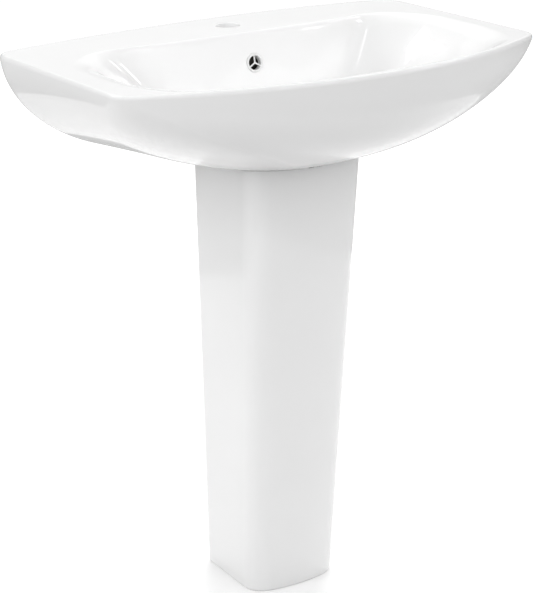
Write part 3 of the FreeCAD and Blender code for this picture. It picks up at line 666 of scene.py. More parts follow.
def pedestal_section(z):
    """Closed C-shaped outline: outer line, then the inner line back, point i facing -1 - i."""
    grow = SIDE_SPLAY * z
    gap = FOOT_REAR_HALF - PED_WALL - PED_RETURN + grow
    halves = [half_shield(FOOT_REAR_HALF + grow - inset, FOOT_FRONT_HALF + grow - inset,
                          PED_REAR_Y - FOOT_DEPTH - FRONT_SPLAY * z + inset, FOOT_BOW,
                          FOOT_CORNER - 0.6 * inset, PED_REAR_CORNER, PED_REAR_Y - inset,
                          PED_COUNTS, gap + TIP) for inset in (0.0, PED_WALL)]
    lines = []
    for half, shift in zip(halves, (0.2, -0.2)):
        middle = (halves[0][0] + halves[1][0]) / 2 + (-TIP, shift)
        half = np.vstack([bend(middle, (middle[0], half[0][1]), half[0], 6, 0.75)[:-1], half])
        lines.append(np.vstack([half, mirrored(half)[1:]]))
    return np.vstack([lines[0], lines[1][::-1]])


def rolled(ring, reach, sign):
    """Rings that round an edge inwards from a wall ring."""
    line, z = ring[:, :2], ring[:, 2]
    area = (line[:, 0] * np.roll(line[:, 1], -1) - line[:, 1] * np.roll(line[:, 0], -1)).sum()
    inwards = -sideways(line) * np.sign(area)
    return [np.column_stack([line + inwards * reach * (1 - math.cos(a)),
                             z + sign * reach * math.sin(a)])
            for a in np.radians((18, 36, 54, 72, 90))]


def pedestal_skin(s, basin_skin):
    """The pedestal's closed skin; its top follows the basin's underside above the rubber pads."""
    high = s.seat_z + PED_REACH
    low_line, high_line = pedestal_section(0.0), pedestal_section(high)
    count = len(low_line)
    half = count // 2

    def section(z):
        share = (z / high)[:, None]
        return low_line * (1 - share) + high_line * share

    top = np.full(count, s.seat_z)
    for _ in range(3):
        for i, (x, y) in enumerate(section(top)):
            hit = basin_skin.ray_cast(Vector((x * MM, y * MM, 0.5)), Vector((0, 0, 1)))[0]
            top[i] = (hit.z / MM if hit else s.seat_z) - (LIP_GAP if i < half else PAD_T)
    rings = []
    for share in np.linspace(0.0, 1.0, 40):
        z = FOOT_ROLL + (top - FOOT_ROLL - TOP_ROLL) * share
        rings.append(np.column_stack([section(z), z]))
    rings = rolled(rings[0], FOOT_ROLL, -1)[::-1] + rings + rolled(rings[-1], TOP_ROLL, 1)

    # the top edge: a step between the outer lip and the lower inner line, then the two rear ends
    faces, points = grid_faces(len(rings), count), np.concatenate(rings)
    last, middle = (len(rings) - 1) * count, len(points)
    over, under = points[last:last + half], points[last + half:][::-1]
    steps = [over + (under - over) * part for part in ((0.35, 0.35, 0.1), (0.45, 0.45, 1.0))]
    for i in range(half - 1):
        j = count - 1 - i
        faces.append((i, i + 1, j - 1, j))
        for a, b in ((last, middle), (middle, middle + half)):
            faces.append((a + i, b + i, b + i + 1, a + i + 1))
        faces.append((middle + half + i, last + j, last + j - 1, middle + half + i + 1))
    for i, j in ((0, count - 1), (half - 1, half)):
        faces.append((last + i, middle + i, middle + half + i, last + j))
    mesh = mesh_from("pedestal_china", np.concatenate([points, *steps]), faces)
    for face in mesh.polygons:
        line = face.vertices[0] % count if face.vertices[0] < len(points) else half
        face.material_index = INSIDE if half + 8 <= line < count - 8 else OUTSIDE
    return mesh


def pedestal_china(s, basin_skin, materials):
    """The pedestal with its two floor lugs."""
    pedestal = place("pedestal_china", pedestal_skin(s, basin_skin), materials)
    for side in (-1, 1):
        x, y = side * (FOOT_REAR_HALF - PED_WALL - LUG_HALF), PED_REAR_Y - PED_WALL - LUG_HALF
        plan = slab(x - side * LUG_HALF, y - LUG_HALF, x + side * LUG_OVER, y + LUG_OVER,
                    [9, 0.5, 0.5, 3], 6)
        lug = pocket(plan, [(0.4, -1.5), (1.5, -0.3), (3, 0), (8, 0), (10.5, -0.5), (11.6, -1.6),
                            (LUG_TOP, -3)])
        carve(pedestal, [lug], "UNION", slot=INSIDE)
        carve(pedestal, [moved(mouth(LUG_HOLE_R, -PAST, 5, 1.2, 48), (x, y, LUG_TOP))], slot=INSIDE)
    kiln_faces(pedestal, lambda spot, normal: spot.z < 0.6 and normal.z < -0.9)
    return pedestal


# ---------------------------------------------------------------- fittings
PIPE_R, PIPE_WALL = 16.0, 1.8
NUT_LIP, NUT_RIB_R, NUT_RIBS, CUP_RIBS = 2.5, 1.6, 12, 16
THREAD_FIT, PIPE_FIT = 0.05, 0.3
THREAD_R, THREAD_PITCH, THREAD_DEPTH = 20.95, 2.31, 0.9    # the waste's tail
NECK_R, NECK_BORE_R = 20.9, 16.3                           # the trap's two necks
TRAP_R, TRAP_BORE_R, NECK_LENGTH, OUTLET_DROP = 29.0, 26.4, 18.0, 44.0
BACKNUT_R, BACKNUT_CHAMFER = 30.0, 2.0
STOP_FROM_END, STOP_T = 100.0, 3.0                         # collar on the outlet pipe
SEAL_R, WASHER_R = 21.0, 16.05                             # bores of seals and washers
SLOT_LEVELS = [(668, -0.5), (669, 0), (676, 0), (677, -0.5)]       # overflow slots of the waste
BAR_LEVELS, HUB_R = [(655, -0.7), (655.7, 0), (659.3, 0), (660, -0.7)], 8.5    # its crossbar
CUP_COLLAR_Z, CUP_LEDGE_Z, CUP_SOCKET_R = 51.2, 53.8, 29.3 # the cup's collar and what it holds
BUSH_BORE_R, BUSH_R, BUSH_FLANGE_R, BUSH_FLANGE_T, BUSH_LENGTH = 5.25, 7.9, 13.0, 3.0, 15.0


def spun(node, points, reach=None, steps=4, axis="Z", count=128, shape=None):
    """A turned mesh on the axis of its CAD node.

    points(length, radius) gives its profile from the low end; reach rounds the profile's corners.
    """
    low, high = np.array(corners(node))
    middle, end = (low + high) / 2, "XYZ".index(axis)
    profile = points(high[end] - low[end], (high[0] - low[0]) / 2)
    if reach is not None:
        profile = soften(profile, reach, steps)
    middle[end] = low[end]
    return moved(turned(node, profile, count, shape), middle, ALONG_Y if axis == "Y" else None)


def ribbed(ribs, height, smallest):
    """Rounded ribs on every part of a turned piece that lies outside the smallest radius."""
    def shape(angle, radius, _):
        swell = height * (0.5 + 0.5 * np.cos(ribs * angle)) ** 3.0
        return radius + (swell - height) * np.clip((radius - smallest) / 1.2, 0.0, 1.0)
    return shape


def union_nut(node, thread_r, axis="Z", lip_first=True):
    """Ribbed nut with a bore for the pipe at its lip and a wider one for the thread."""
    def points(high, radius):
        pipe, thread = PIPE_R + PIPE_FIT, thread_r + THREAD_FIT
        line = [(pipe, 0), (radius - 3, 0), (radius, 2.5), (radius, high - 2), (radius - 2.2, high),
                (thread + 1, high), (thread, high - 1), (thread, NUT_LIP), (pipe, NUT_LIP)]
        return line if lip_first else [(r, high - z) for r, z in line]
    return spun(node, points, [0.4, 1.5, 1.5, 1.2, 1, 0.4, 0.4, 0.3, 0.3], 3, axis, 288,
                ribbed(NUT_RIBS, NUT_RIB_R, 24.0))


def hexagon(radius, chamfer):
    """Six flats with turned chamfers on a nut's outside."""
    def shape(angle, r, _):
        sixth = math.pi / 6
        flat = radius * math.cos(sixth) / np.cos((angle + sixth) % (2 * sixth) - sixth)
        return np.where(r > radius - 2 * chamfer - 3, np.minimum(r, flat), r)
    return shape


def threaded(radius, low, high):
    """A helical thread on the turned points at this radius between two heights."""
    def shape(angle, r, z):
        phase = (z / THREAD_PITCH - angle / (2 * math.pi)) % 1.0
        groove = THREAD_DEPTH * (1 - np.abs(2 * phase - 1)) * ((z > low) & (z < high))
        return np.where(np.abs(r - radius) < 0.01, r - groove, r)
    return shape


def waste_brass():
    """Flanged waste with its threaded tail, overflow slots and crossbar."""
    low, high = corners("waste_body")
    z, top = low[2], high[2] - low[2]
    line = [(18, 0.3), (18.4, 0), (20.2, 0)]
    line += [(THREAD_R, h) for h in (*np.arange(1.5, top - 40, 0.4), top - 3)]
    line += list(soften([(THREAD_R, top - 2.5), (31.5, top - 2.5), (31.3, top - 0.6), (29, top),
                         (20.5, top - 0.9), (18, top - 3)], [0, 0.5, 0.8, 1.5, 2.5, 0]))
    mesh = turned("waste_body", line, 160, threaded(THREAD_R, 2.0, top - 41))
    waste = place("waste_brass", moved(mesh, (0, DRAIN_Y, z)))
    carve(waste, [pocket(slab(-7, -30, 7, 30, 3) + (0, DRAIN_Y), SLOT_LEVELS)])
    bar = pocket(slab(-18.5, -3.5, 18.5, 3.5, 0.4) + (0, DRAIN_Y), BAR_LEVELS)
    low_z, high_z = BAR_LEVELS[0][0], BAR_LEVELS[-1][0]
    hub = turned("hub", soften([(0, low_z), (HUB_R, low_z), (HUB_R, high_z), (0, high_z)],
                               [0, 0.8, 0.8, 0]), 64)
    return carve(waste, [bar, moved(hub, (0, DRAIN_Y, 0))], "UNION")


def backnut_brass():
    """Hexagon nut; its radius is the one across its corners."""
    low, high = corners("waste_backnut")
    top, r = high[2] - low[2], BACKNUT_R
    profile = soften([(21, 1.2), (22.5, 0), (26, 0), (r, 2.2), (r, top - 2.2), (26, top),
                      (22.5, top), (21, top - 1.2)], 0.4, 2)
    mesh = turned("waste_backnut", profile, 240, hexagon(r, BACKNUT_CHAMFER))
    return moved(mesh, (0, DRAIN_Y, low[2]))


def cartridge_brass():
    return spun("plug_cartridge", lambda high, r: [
        (0, 0), (r - 0.8, 0), (r, 0.8), (r, 5), (r - 0.7, 5.4), (r - 0.7, 6.6), (r, 7),
        (r, high - 0.8), (r - 0.8, high), (3.46, high), (3.46, 1.5), (0, 1.5)],
        [0] + [0.3] * 10 + [0], 2)


def stem_steel():
    return spun("plug_stem", lambda high, r: [
        (0, 0), (r - 0.9, 0), (r, 1.2), (r, 9), (r - 0.6, 9.4), (r - 0.6, 11), (r, 11.4),
        (r, high), (0, high)], [0] + [0.3] * 6 + [0, 0], 2, count=64)


def cap_chrome():
    """Domed plug with a rolled edge and a small step under it."""
    def points(high, radius):
        dome = [(radius * f, high - 1.86 * f ** 2) for f in np.linspace(0.955, 0.0, 24)]
        edge = bend((radius - 2.4, 0.0), (radius, 0.0), (radius, 0.9), 5, 0.8)
        roll = bend((radius, 0.9), (radius, 1.62), dome[0], 5, 0.8)
        return [(0, 0), *edge, *roll[1:], *dome[1:]]
    return spun("plug_cap", points, count=160)


def seal(node, inner, lips=1, axis="Z"):
    """Rubber washer with shallow sealing lips on its faces."""
    def points(high, radius):
        shares = np.linspace(0, 1, 6 * lips + 1)
        dents = 0.12 * high * (0.5 - 0.5 * np.cos(2 * math.pi * lips * shares))
        line = list(zip(inner + (radius - inner) * (0.06 + 0.88 * shares), dents))
        edges = [(r, high * share) for r, share in ((radius, 0.25), (radius, 0.75))]
        upper = [(r, high - z) for r, z in reversed(line)]
        return line + edges + upper + [(inner, high * 0.75), (inner, high * 0.25)]
    return spun(node, points, axis=axis)


def tube_plastic():
    return spun("inlet_tube", lambda high, radius: [
        (PIPE_R - PIPE_WALL, 0.4), (PIPE_R - 0.9, 0), (PIPE_R, 1.2), (PIPE_R, high - 2.9),
        (PIPE_R + 0.4, high - 2.5), (radius, high - 2.5), (radius, high),
        (PIPE_R - PIPE_WALL, high)], [0.2, 0.4, 0.4, 0.2, 0.2, 0.6, 0.6, 0.3], 3)


def trap_head_plastic():
    """The trap's fixed half with its two threaded necks."""
    low, high = corners("trap_head")
    z, top = low[2], high[2]
    shoulder, outlet = top - NECK_LENGTH, (0, DRAIN_Y, top - OUTLET_DROP)
    outer = soften([(0, z), (TRAP_R, z), (TRAP_R, shoulder), (21.2, shoulder + 0.5),
                    (NECK_R, shoulder + 1.5), (NECK_R, top), (0, top)],
                   [0, 0.5, 7, 0.8, 0.5, 1.0, 0], 8)
    head = place("trap_head_plastic", moved(turned("head", outer, 128), (0, DRAIN_Y, 0)))
    side = soften([(0, 8), (23, 8), (23, 29.5), (NECK_R, 32), (NECK_R, 47), (0, 47)],
                  [0, 0, 1.5, 1, 1, 0], 4)
    carve(head, [moved(turned("side", side, 112), outlet, ALONG_Y)], "UNION")
    ceiling = shoulder - 2.6
    cavity = soften([(0, z - 5), (TRAP_BORE_R, z - 5), (TRAP_BORE_R, ceiling), (0, ceiling)],
                    [0, 0, 5, 0], 6)
    bore = pin(NECK_BORE_R, 0, 60, 80)
    return carve(head, [moved(turned("cavity", cavity), (0, DRAIN_Y, 0)),
                        moved(bore.copy(), (0, DRAIN_Y, shoulder - 10)),
                        moved(bore, outlet, ALONG_Y)])


def trap_cup_plastic():
    return spun("trap_cup", lambda high, radius: [
        (0, 1.2), (17, 1.2), (20, 0), (TRAP_R, 0), (TRAP_R, CUP_COLLAR_Z), (radius, CUP_COLLAR_Z),
        (radius, high), (CUP_SOCKET_R, high), (CUP_SOCKET_R, CUP_LEDGE_Z),
        (TRAP_BORE_R, CUP_LEDGE_Z), (TRAP_BORE_R, 2.6), (0, 3.6)],
        [0, 1, 1, 8, 0.8, 1.2, 1.4, 0.4, 0.3, 0.3, 6, 0], 6, count=384,
        shape=ribbed(CUP_RIBS, 1.8, 30.5))


def outlet_plastic():
    """Pipe into the wall, with the collar that stops it there."""
    def points(high, radius):
        stop = high - STOP_FROM_END
        return [(PIPE_R - PIPE_WALL, 0), (PIPE_R, 0), (PIPE_R, stop - STOP_T),
                (radius, stop - STOP_T), (radius, stop), (PIPE_R, stop), (PIPE_R, high - 1.5),
                (PIPE_R - 0.8, high), (PIPE_R - PIPE_WALL, high)]
    return spun("outlet_pipe", points, [0.3, 0.5, 0.4, 0.6, 0.6, 0.4, 0.8, 0.3, 0.3], 3, "Y")


def bushes_nylon(s):
    """Sleeves for the wall bolts, with their flanges on the inside of the back panel."""
    profile = soften([(BUSH_BORE_R, 0), (BUSH_FLANGE_R, 0), (BUSH_FLANGE_R, BUSH_FLANGE_T),
                      (BUSH_R, BUSH_FLANGE_T), (BUSH_R, BUSH_LENGTH), (BUSH_BORE_R, BUSH_LENGTH)],
                     [0.6, 0.8, 0.3, 0.2, 0.5, 0.4], 3)
    low_y, z = corners("wall_bushes")[0][1], s.rim_height - BOLT_DROP
    made = bpy.data.meshes.new("wall_bushes")
    with editing(made) as work:
        for x in (-BOLT_X, BOLT_X):
            bush = moved(turned("bush", profile, 72), (x, low_y, z), ALONG_Y)
            work.from_mesh(bush)
            bpy.data.meshes.remove(bush)
    return made


def overflow_chrome(s):
    """Trim ring with its sleeve and three plain spokes."""
    profile = soften([(10.4, -7), (11.8, -7), (11.8, 0), (13.8, 0), (13.8, 1.5), (12.6, 2.2),
                      (11.2, 2.2), (10.4, 1.3)], [0.3, 0.3, 0.2, 0.3, 0.5, 0.5, 0.5, 0.4], 4)
    ring = place("overflow_chrome", turned("ring", profile, 160))
    plan = slab(-0.9, -1.1, 10.9, 1.1, [0.8, 0.2, 0.2, 0.8], 5)
    levels = [(0.05, -0.45), (0.2, -0.12), (0.45, 0), (0.9, 0), (1.2, -0.16), (1.36, -0.5)]
    carve(ring, [moved(pocket(plan, levels), (0, 0, 0), turn(90 + 120 * i, "Z"))
                 for i in range(3)], "UNION")
    at_overflow(s, ring.data)
    return ring


# ---------------------------------------------------------------- materials
def add(tree, kind, inputs=None, **settings):
    """Adds a node, with its settings and with its inputs linked or given a value."""
    node = tree.nodes.new("ShaderNode" + kind)
    for key, value in settings.items():
        setattr(node, key, value)
    for key, value in (inputs or {}).items():
        if isinstance(value, bpy.types.NodeSocket):
            tree.links.new(value, node.inputs[key])
        else:
            node.inputs[key].default_value = value
    return node


def place_in_mm(tree, stretch=1.0):
    """The surface point in the model's own space, in millimetres.

    A stretch below 1 draws out upwards what is laid on it.
    """
    point, scale = add(tree, "TexCoord").outputs["Object"], (1 / MM, 1 / MM, stretch / MM)
    return add(tree, "VectorMath", {0: point, 1: scale}, operation="MULTIPLY").outputs[0]


def cloud(tree, size, detail=2.0, stretch=1.0, rough=0.5, where=None):
    """Soft noise whose blotches are about `size` millimetres wide."""
    return add(tree, "TexNoise", {"Vector": where or place_in_mm(tree, stretch), "Detail": detail,
                                  "Scale": 1 / size, "Roughness": rough}).outputs[0]


def calc(tree, operation, a, b=0.0, c=0.0):
    return add(tree, "Math", {0: a, 1: b, 2: c}, operation=operation).outputs[0]


def length_of(tree, a, b):
    """Length of the line across two right-angled steps."""
    squares = [calc(tree, "MULTIPLY", each, each) for each in (a, b)]
    return calc(tree, "SQRT", calc(tree, "ADD", *squares))


def spread(tree, value, low, high, start=0.3, end=0.7):
    """Stretches the middle of a noise over the range from low to high."""
    return add(tree, "MapRange", {0: value, 1: start, 2: end, 3: low, 4: high}).outputs[0]


def mottle(tree, size, low, high, detail=2.0):
    """A value that wanders from low to high in blotches about `size` millimetres wide."""
    return spread(tree, cloud(tree, size, detail), low, high)


def relief(tree, height, depth, under=None):
    """Bump from a 0-to-1 height, `depth` millimetres deep."""
    inputs = {"Strength": 1.0, "Distance": depth * MM, "Height": height}
    if under is not None:
        inputs["Normal"] = under
    return add(tree, "Bump", inputs).outputs[0]


def principled(tree, colour, tone, rough, normal, ior=1.5, **more):
    """The surface shader; the tone darkens its colour, and _ stands for a blank in socket names."""
    base = add(tree, "RGB")
    base.outputs[0].default_value = (*colour, 1.0)
    shade = add(tree, "VectorMath", {0: base.outputs[0], "Scale": tone}, operation="SCALE")
    sockets = {"Base Color": shade.outputs[0], "Roughness": rough, "Normal": normal, "IOR": ior}
    sockets.update((key.replace("_", " "), value) for key, value in more.items())
    return add(tree, "BsdfPrincipled", {k: v for k, v in sockets.items() if v is not None})


def surface(name, colour, build):
    """The material of that name, made by build(tree, colour) when it does not exist yet."""
    material = bpy.data.materials.get(name)
    if material is None:
        material = bpy.data.materials.new(name)
        material.use_nodes = True
        tree = material.node_tree
        tree.nodes.clear()
        add(tree, "OutputMaterial", {"Surface": build(tree, tuple(colour)).outputs[0]})
        material.diffuse_color = (*colour, 1.0)
    return material


def glaze(tree, colour):
    """Sprayed and fired glaze: a clear glass skin, faintly wavy, over a dense white body."""
    waves = relief(tree, cloud(tree, 45, 1.0), 0.03)
    peel = relief(tree, cloud(tree, 5, 1.0), 0.002, waves)
    spots = add(tree, "TexVoronoi", {"Vector": place_in_mm(tree), "Scale": 1 / 26.0})
    pits = calc(tree, "LESS_THAN", spots.outputs["Distance"], 0.009)
    skin = relief(tree, calc(tree, "SUBTRACT", 1.0, pits), 0.02, peel)
    return principled(tree, colour, mottle(tree, 140, 0.985, 1.0), mottle(tree, 60, 0.28, 0.36),
                      skin, Specular_IOR_Level=0.3, Coat_Weight=1.0, Coat_Roughness=0.03,
                      Coat_IOR=1.52, Coat_Normal=skin)


def thin_glaze(tree, colour):
    """Overspray on the inside: thin, uneven and dull, with grains of the body showing."""
    patches = cloud(tree, 30, 4.0)
    grain = relief(tree, cloud(tree, 1.2, 3.0), 0.05)
    runs = relief(tree, cloud(tree, 12, stretch=0.25), 0.15, grain)
    return principled(tree, colour, spread(tree, patches, 0.88, 0.98),
                      spread(tree, patches, 0.3, 0.6), runs)


def biscuit(tree, colour):
    """Fired clay that stood on the kiln shelf: cream, matt and slightly sandy."""
    grain = cloud(tree, 0.7, 4.0, rough=0.6)
    tone = calc(tree, "MULTIPLY", mottle(tree, 22, 0.86, 1.0, 3.0), spread(tree, grain, 0.94, 1.02))
    return principled(tree, colour, tone, 0.88, relief(tree, grain, 0.06))


def duct_painted_shade(tree, colour):
    """Unglazed passage painted nearly black: painted shade for the dark inside of the duct and
    holes.
    """
    return principled(tree, colour, mottle(tree, 6, 0.05, 0.12, 3.0), 0.8,
                      relief(tree, cloud(tree, 0.8, 3.0), 0.08))


def chrome(tree, colour):
    """Plated and buffed: a mirror with hairline polishing marks and faint water spots."""
    return principled(tree, colour, mottle(tree, 9, 0.96, 1.0), mottle(tree, 4, 0.04, 0.13, 3.0),
                      relief(tree, cloud(tree, 0.5, stretch=6.0), 0.0015), Metallic=1.0)


def machined(tree, colour):
    """Turned on a lathe: fine rings, a satin surface and slightly darker, duller blotches."""
    x, y, z = add(tree, "SeparateXYZ", {0: place_in_mm(tree)}).outputs
    from_axis = length_of(tree, x, calc(tree, "SUBTRACT", y, DRAIN_Y))
    line = add(tree, "CombineXYZ", {0: from_axis, 1: 0.0, 2: z}).outputs[0]
    tarnish = cloud(tree, 7, 4.0)
    return principled(tree, colour, spread(tree, tarnish, 0.8, 1.0),
                      spread(tree, tarnish, 0.36, 0.22),
                      relief(tree, cloud(tree, 0.35, 3.0, where=line), 0.012), Metallic=1.0)


def rubber(tree, colour):
    """Moulded rubber: matt black with a fine grain and a dusty bloom."""
    return principled(tree, colour, mottle(tree, 5, 0.9, 1.6, 4.0), mottle(tree, 3, 0.55, 0.75),
                      relief(tree, cloud(tree, 0.4, 3.0), 0.02), 1.52)


def moulded(tree, colour):
    """Injection-moulded polypropylene: white, waxy, with a light spark-eroded texture."""
    flow, grain = cloud(tree, 18, stretch=0.3), relief(tree, cloud(tree, 0.35), 0.008)
    return principled(tree, colour, spread(tree, flow, 0.96, 1.0), spread(tree, flow, 0.28, 0.4),
                      relief(tree, flow, 0.03, grain), 1.49, Subsurface_Weight=0.1,
                      Subsurface_Radius=(0.004, 0.004, 0.004), Subsurface_Scale=0.5)


def nylon(tree, colour):
    """Moulded nylon: slightly creamy and duller than the polypropylene."""
    return principled(tree, colour, mottle(tree, 8, 0.94, 1.0), mottle(tree, 4, 0.42, 0.55),
                      relief(tree, cloud(tree, 0.5), 0.015), 1.53)


# The white sweep on the floor, an ellipse turned to lie along the view (mm, degrees), and the
# greyer boards beyond it: their tone, and what the camera and the glaze get from each.
SWEEP_HALF_WIDTH, SWEEP_HALF_LENGTH, SWEEP_MIDDLE, SWEEP_TURN = 1350.0, 1480.0, 90.0, 33.8
BOARD_TONE, SWEEP_LIFT, BOARD_LIFT, SWEEP_MIRRORED = 0.55, 0.22, 0.63, 0.1


def pale_floor(tree, colour):
    """Matt pale studio floor: a white sweep round the object, greyer boards beyond it.

    Where nothing shades it, it looks plain white; the boards show in the glaze's reflections only.
    """
    lying = add(tree, "VectorRotate", {"Vector": place_in_mm(tree),
                                       "Angle": math.radians(SWEEP_TURN)}, rotation_type="Z_AXIS")
    across, back, _ = add(tree, "SeparateXYZ", {0: lying.outputs[0]}).outputs
    wide = calc(tree, "DIVIDE", across, SWEEP_HALF_WIDTH)
    deep = calc(tree, "DIVIDE", calc(tree, "SUBTRACT", back, SWEEP_MIDDLE), SWEEP_HALF_LENGTH)
    beyond = spread(tree, length_of(tree, wide, deep), 0.0, 1.0, 0.99, 1.01)
    tone = calc(tree, "MULTIPLY", mottle(tree, 90, 0.985, 1.0, 3.0),
                calc(tree, "MULTIPLY_ADD", beyond, BOARD_TONE - 1.0, 1.0))
    plain = principled(tree, colour, tone, 0.7, None, 1.45, Specular_IOR_Level=0.1)
    ray = add(tree, "LightPath").outputs
    near = calc(tree, "SUBTRACT", 1.0, beyond)
    glow = calc(tree, "MULTIPLY", ray["Is Glossy Ray"],
                calc(tree, "MULTIPLY", near, SWEEP_MIRRORED))
    strength = calc(tree, "MULTIPLY_ADD", ray["Is Camera Ray"],
                    calc(tree, "MULTIPLY_ADD", beyond, BOARD_LIFT, SWEEP_LIFT), glow)
    lift = add(tree, "Emission", {"Color": (1, 1, 1, 1), "Strength": strength})
    return add(tree, "AddShader", {0: plain.outputs[0], 1: lift.outputs[0]})


BUILDERS = {"glaze": glaze, "biscuit": biscuit, "chrome": chrome, "brass": machined,
            "steel": machined, "rubber": rubber, "plastic": moulded, "nylon": nylon,
            "floor": pale_floor}


def finish_of(key):
    """The material for one finish of the panel."""
    return surface("sink_" + key, getattr(bpy.context.scene.sink_finish, key), BUILDERS[key])


def china():
    """The china's surfaces: glazed outside, thin glaze inside, painted shade in its passages, kiln
    faces.
    """
    finish = bpy.context.scene.sink_finish
    return [finish_of("glaze"), surface("sink_thin_glaze", finish.glaze, thin_glaze),
            surface("sink_raw_duct", finish.biscuit, duct_painted_shade), finish_of("biscuit")]


def settle(made, node, finish, body="root", degrees=32.0):
    """Shows a mesh, or a placed object, in place of a CAD node.

    It gets the finish if it has none yet; edges sharper than the angle stay sharp.
    """
    obj = made if isinstance(made, bpy.types.Object) else place(node + "_piece", made)
    if not obj.data.materials:
        obj.data.materials.append(finish_of(finish))
    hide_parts(node)
    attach(obj, body)
    obj.data.polygons.foreach_set("use_smooth", np.ones(len(obj.data.polygons), bool))
    obj.data.set_sharp_from_angle(angle=math.radians(degrees))


# ---------------------------------------------------------------- operators
class Step:
    """What the sink's operators have in common."""
    bl_options = {"REGISTER", "UNDO"}

    def execute(self, context):
        self.build()
        return {"FINISHED"}


class SINK_OT_basin(Step, bpy.types.Operator):
    """Add the china basin with its bowl, tap ledge, duct and hollow underside"""
    bl_idname, bl_label = "sink.add_basin", "Basin"

    def build(self):
        settle(basin_china(sizes(), china()), "basin", "glaze", degrees=34.0)


class SINK_OT_pedestal(Step, bpy.types.Operator):
    """Add the china pedestal, open at the back, with its two floor lugs"""
    bl_idname, bl_label = "sink.add_pedestal", "Pedestal"

    def build(self):
        s = sizes()
        block = basin_block(s)
        with editing(block) as work:
            basin_skin = BVHTree.FromBMesh(work)
        bpy.data.meshes.remove(block)
        pedestal = pedestal_china(s, basin_skin, china())
        settle(pedestal, "pedestal", "glaze", degrees=34.0)


class SINK_OT_pads(Step, bpy.types.Operator):
    """Add the rubber pads between pedestal and basin"""
    bl_idname, bl_label = "sink.add_pads", "Rubber Pads"

    def build(self):
        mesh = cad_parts["pedestal_pads"].data.copy()
        mesh.materials.clear()
        with editing(mesh) as work:
            bmesh.ops.remove_doubles(work, verts=work.verts, dist=0.02 * MM)
        pads = place("rubber_pads", mesh, [finish_of("rubber")])
        carve(pads, [bpy.data.objects["pedestal_china"].data.copy()])
        settle(pads, "pedestal_pads", "rubber")


class SINK_OT_overflow(Step, bpy.types.Operator):
    """Add the chromed overflow ring"""
    bl_idname, bl_label = "sink.add_overflow", "Overflow Ring"

    def build(self):
        settle(overflow_chrome(sizes()), "overflow_ring", "chrome")


class SINK_OT_wall_bushes(Step, bpy.types.Operator):
    """Add the nylon bushes in the two wall bolt holes"""
    bl_idname, bl_label = "sink.add_wall_bushes", "Wall Bushes"

    def build(self):
        settle(bushes_nylon(sizes()), "wall_bushes", "nylon")


class SINK_OT_waste(Step, bpy.types.Operator):
    """Add the waste with its seals and backnut"""
    bl_idname, bl_label = "sink.add_waste", "Waste"

    def build(self):
        settle(waste_brass(), "waste_body", "chrome")
        for node, lips in (("waste_top_seal", 2), ("waste_under_washer", 3)):
            settle(seal(node, SEAL_R, lips), node, "rubber")
        settle(backnut_brass(), "waste_backnut", "brass", degrees=24.0)
        settle(cartridge_brass(), "plug_cartridge", "brass")


class SINK_OT_plug(Step, bpy.types.Operator):
    """Add the plug that rises and sinks: stem, cap and seal"""
    bl_idname, bl_label = "sink.add_plug", "Plug"

    def build(self):
        settle(stem_steel(), "plug_stem", "steel", "plug")
        settle(cap_chrome(), "plug_cap", "chrome", "plug")
        settle(seal("plug_seal", 20.5), "plug_seal", "rubber", "plug")


class SINK_OT_trap(Step, bpy.types.Operator):
    """Add the bottle trap: inlet tube, head, cup, nuts and washers"""
    bl_idname, bl_label = "sink.add_trap", "Bottle Trap"

    def build(self):
        settle(union_nut("inlet_nut", THREAD_R), "inlet_nut", "plastic")
        settle(union_nut("trap_nut", NECK_R, lip_first=False), "trap_nut", "plastic")
        settle(tube_plastic(), "inlet_tube", "plastic")
        settle(trap_head_plastic(), "trap_head", "plastic")
        settle(trap_cup_plastic(), "trap_cup", "plastic", "cup")
        for node, inner, body in (("inlet_washer", 14.2, "root"), ("trap_washer", WASHER_R, "root"),
                                  ("cup_seal", TRAP_BORE_R, "cup")):
            settle(seal(node, inner), node, "rubber", body)


class SINK_OT_outlet(Step, bpy.types.Operator):
    """Add the outlet pipe with its nut and washer"""
    bl_idname, bl_label = "sink.add_outlet", "Outlet"

    def build(self):
        settle(outlet_plastic(), "outlet_pipe", "plastic")
        settle(union_nut("outlet_nut", NECK_R, "Y", False), "outlet_nut", "plastic")
        settle(seal("outlet_washer", WASHER_R, axis="Y"), "outlet_washer", "rubber")


# ---------------------------------------------------------------- stage
FLOOR_REACH = 15000.0
WORLD_LIGHT, WORLD_MIRRORED = 0.43, 0.17
CAMERA_TURN, CAMERA_RISE, CAMERA_DISTANCE, CAMERA_LENS = -33.8, 19.4, 3162.8, 128.88
CAMERA_AIM, CAMERA_SHIFT = (0.0, 60.5, 440.4), -2.5     # the shift is sideways, across the view

# Name, heading and rise as seen from what it faces (degrees; 0 is to the right, -90 in front),
# width and height (mm), radiance.  The mirrored ones also say what they face and how far they are.
FILL_SPOT, FILL_DISTANCE = (0, 0, 500), 2900
FILL_LAMPS = (
    ("behind right", 50, 40, 1500, 1300, 7.1),
    ("behind left", 135, 40, 1500, 1300, 2.3),
    ("left", -175, 30, 1500, 1200, 4.2),
    ("low left", 180, 8, 1500, 1000, 1.2),
    ("front left", -130, 25, 1200, 1200, 0.6),
    ("front", -85, 34, 1800, 1500, 2.1),
    ("front right", -45, 30, 1200, 1200, 1.6),
    ("right", 0, 35, 1500, 2000, 0.9),
    ("low right", 0, 8, 1500, 800, 1.9))
MIRRORED_LAMPS = (
    ("window right", -3, 35, 180, 345, 6.0, (-201, 109, 801), 2600),
    ("window front", -28, 33, 300, 410, 8.0, (-195, 107, 797), 2600),
    ("streak front", -72, 50, 900, 180, 4.0, (-104, 104, 823), 2600),
    ("panel behind", 103.5, 44, 600, 520, 6.0, (245, 35, 790), 2600),
    ("backdrop", 54.3, 11.5, 2800, 2700, 0.5, (0, 100, 830), 2900))


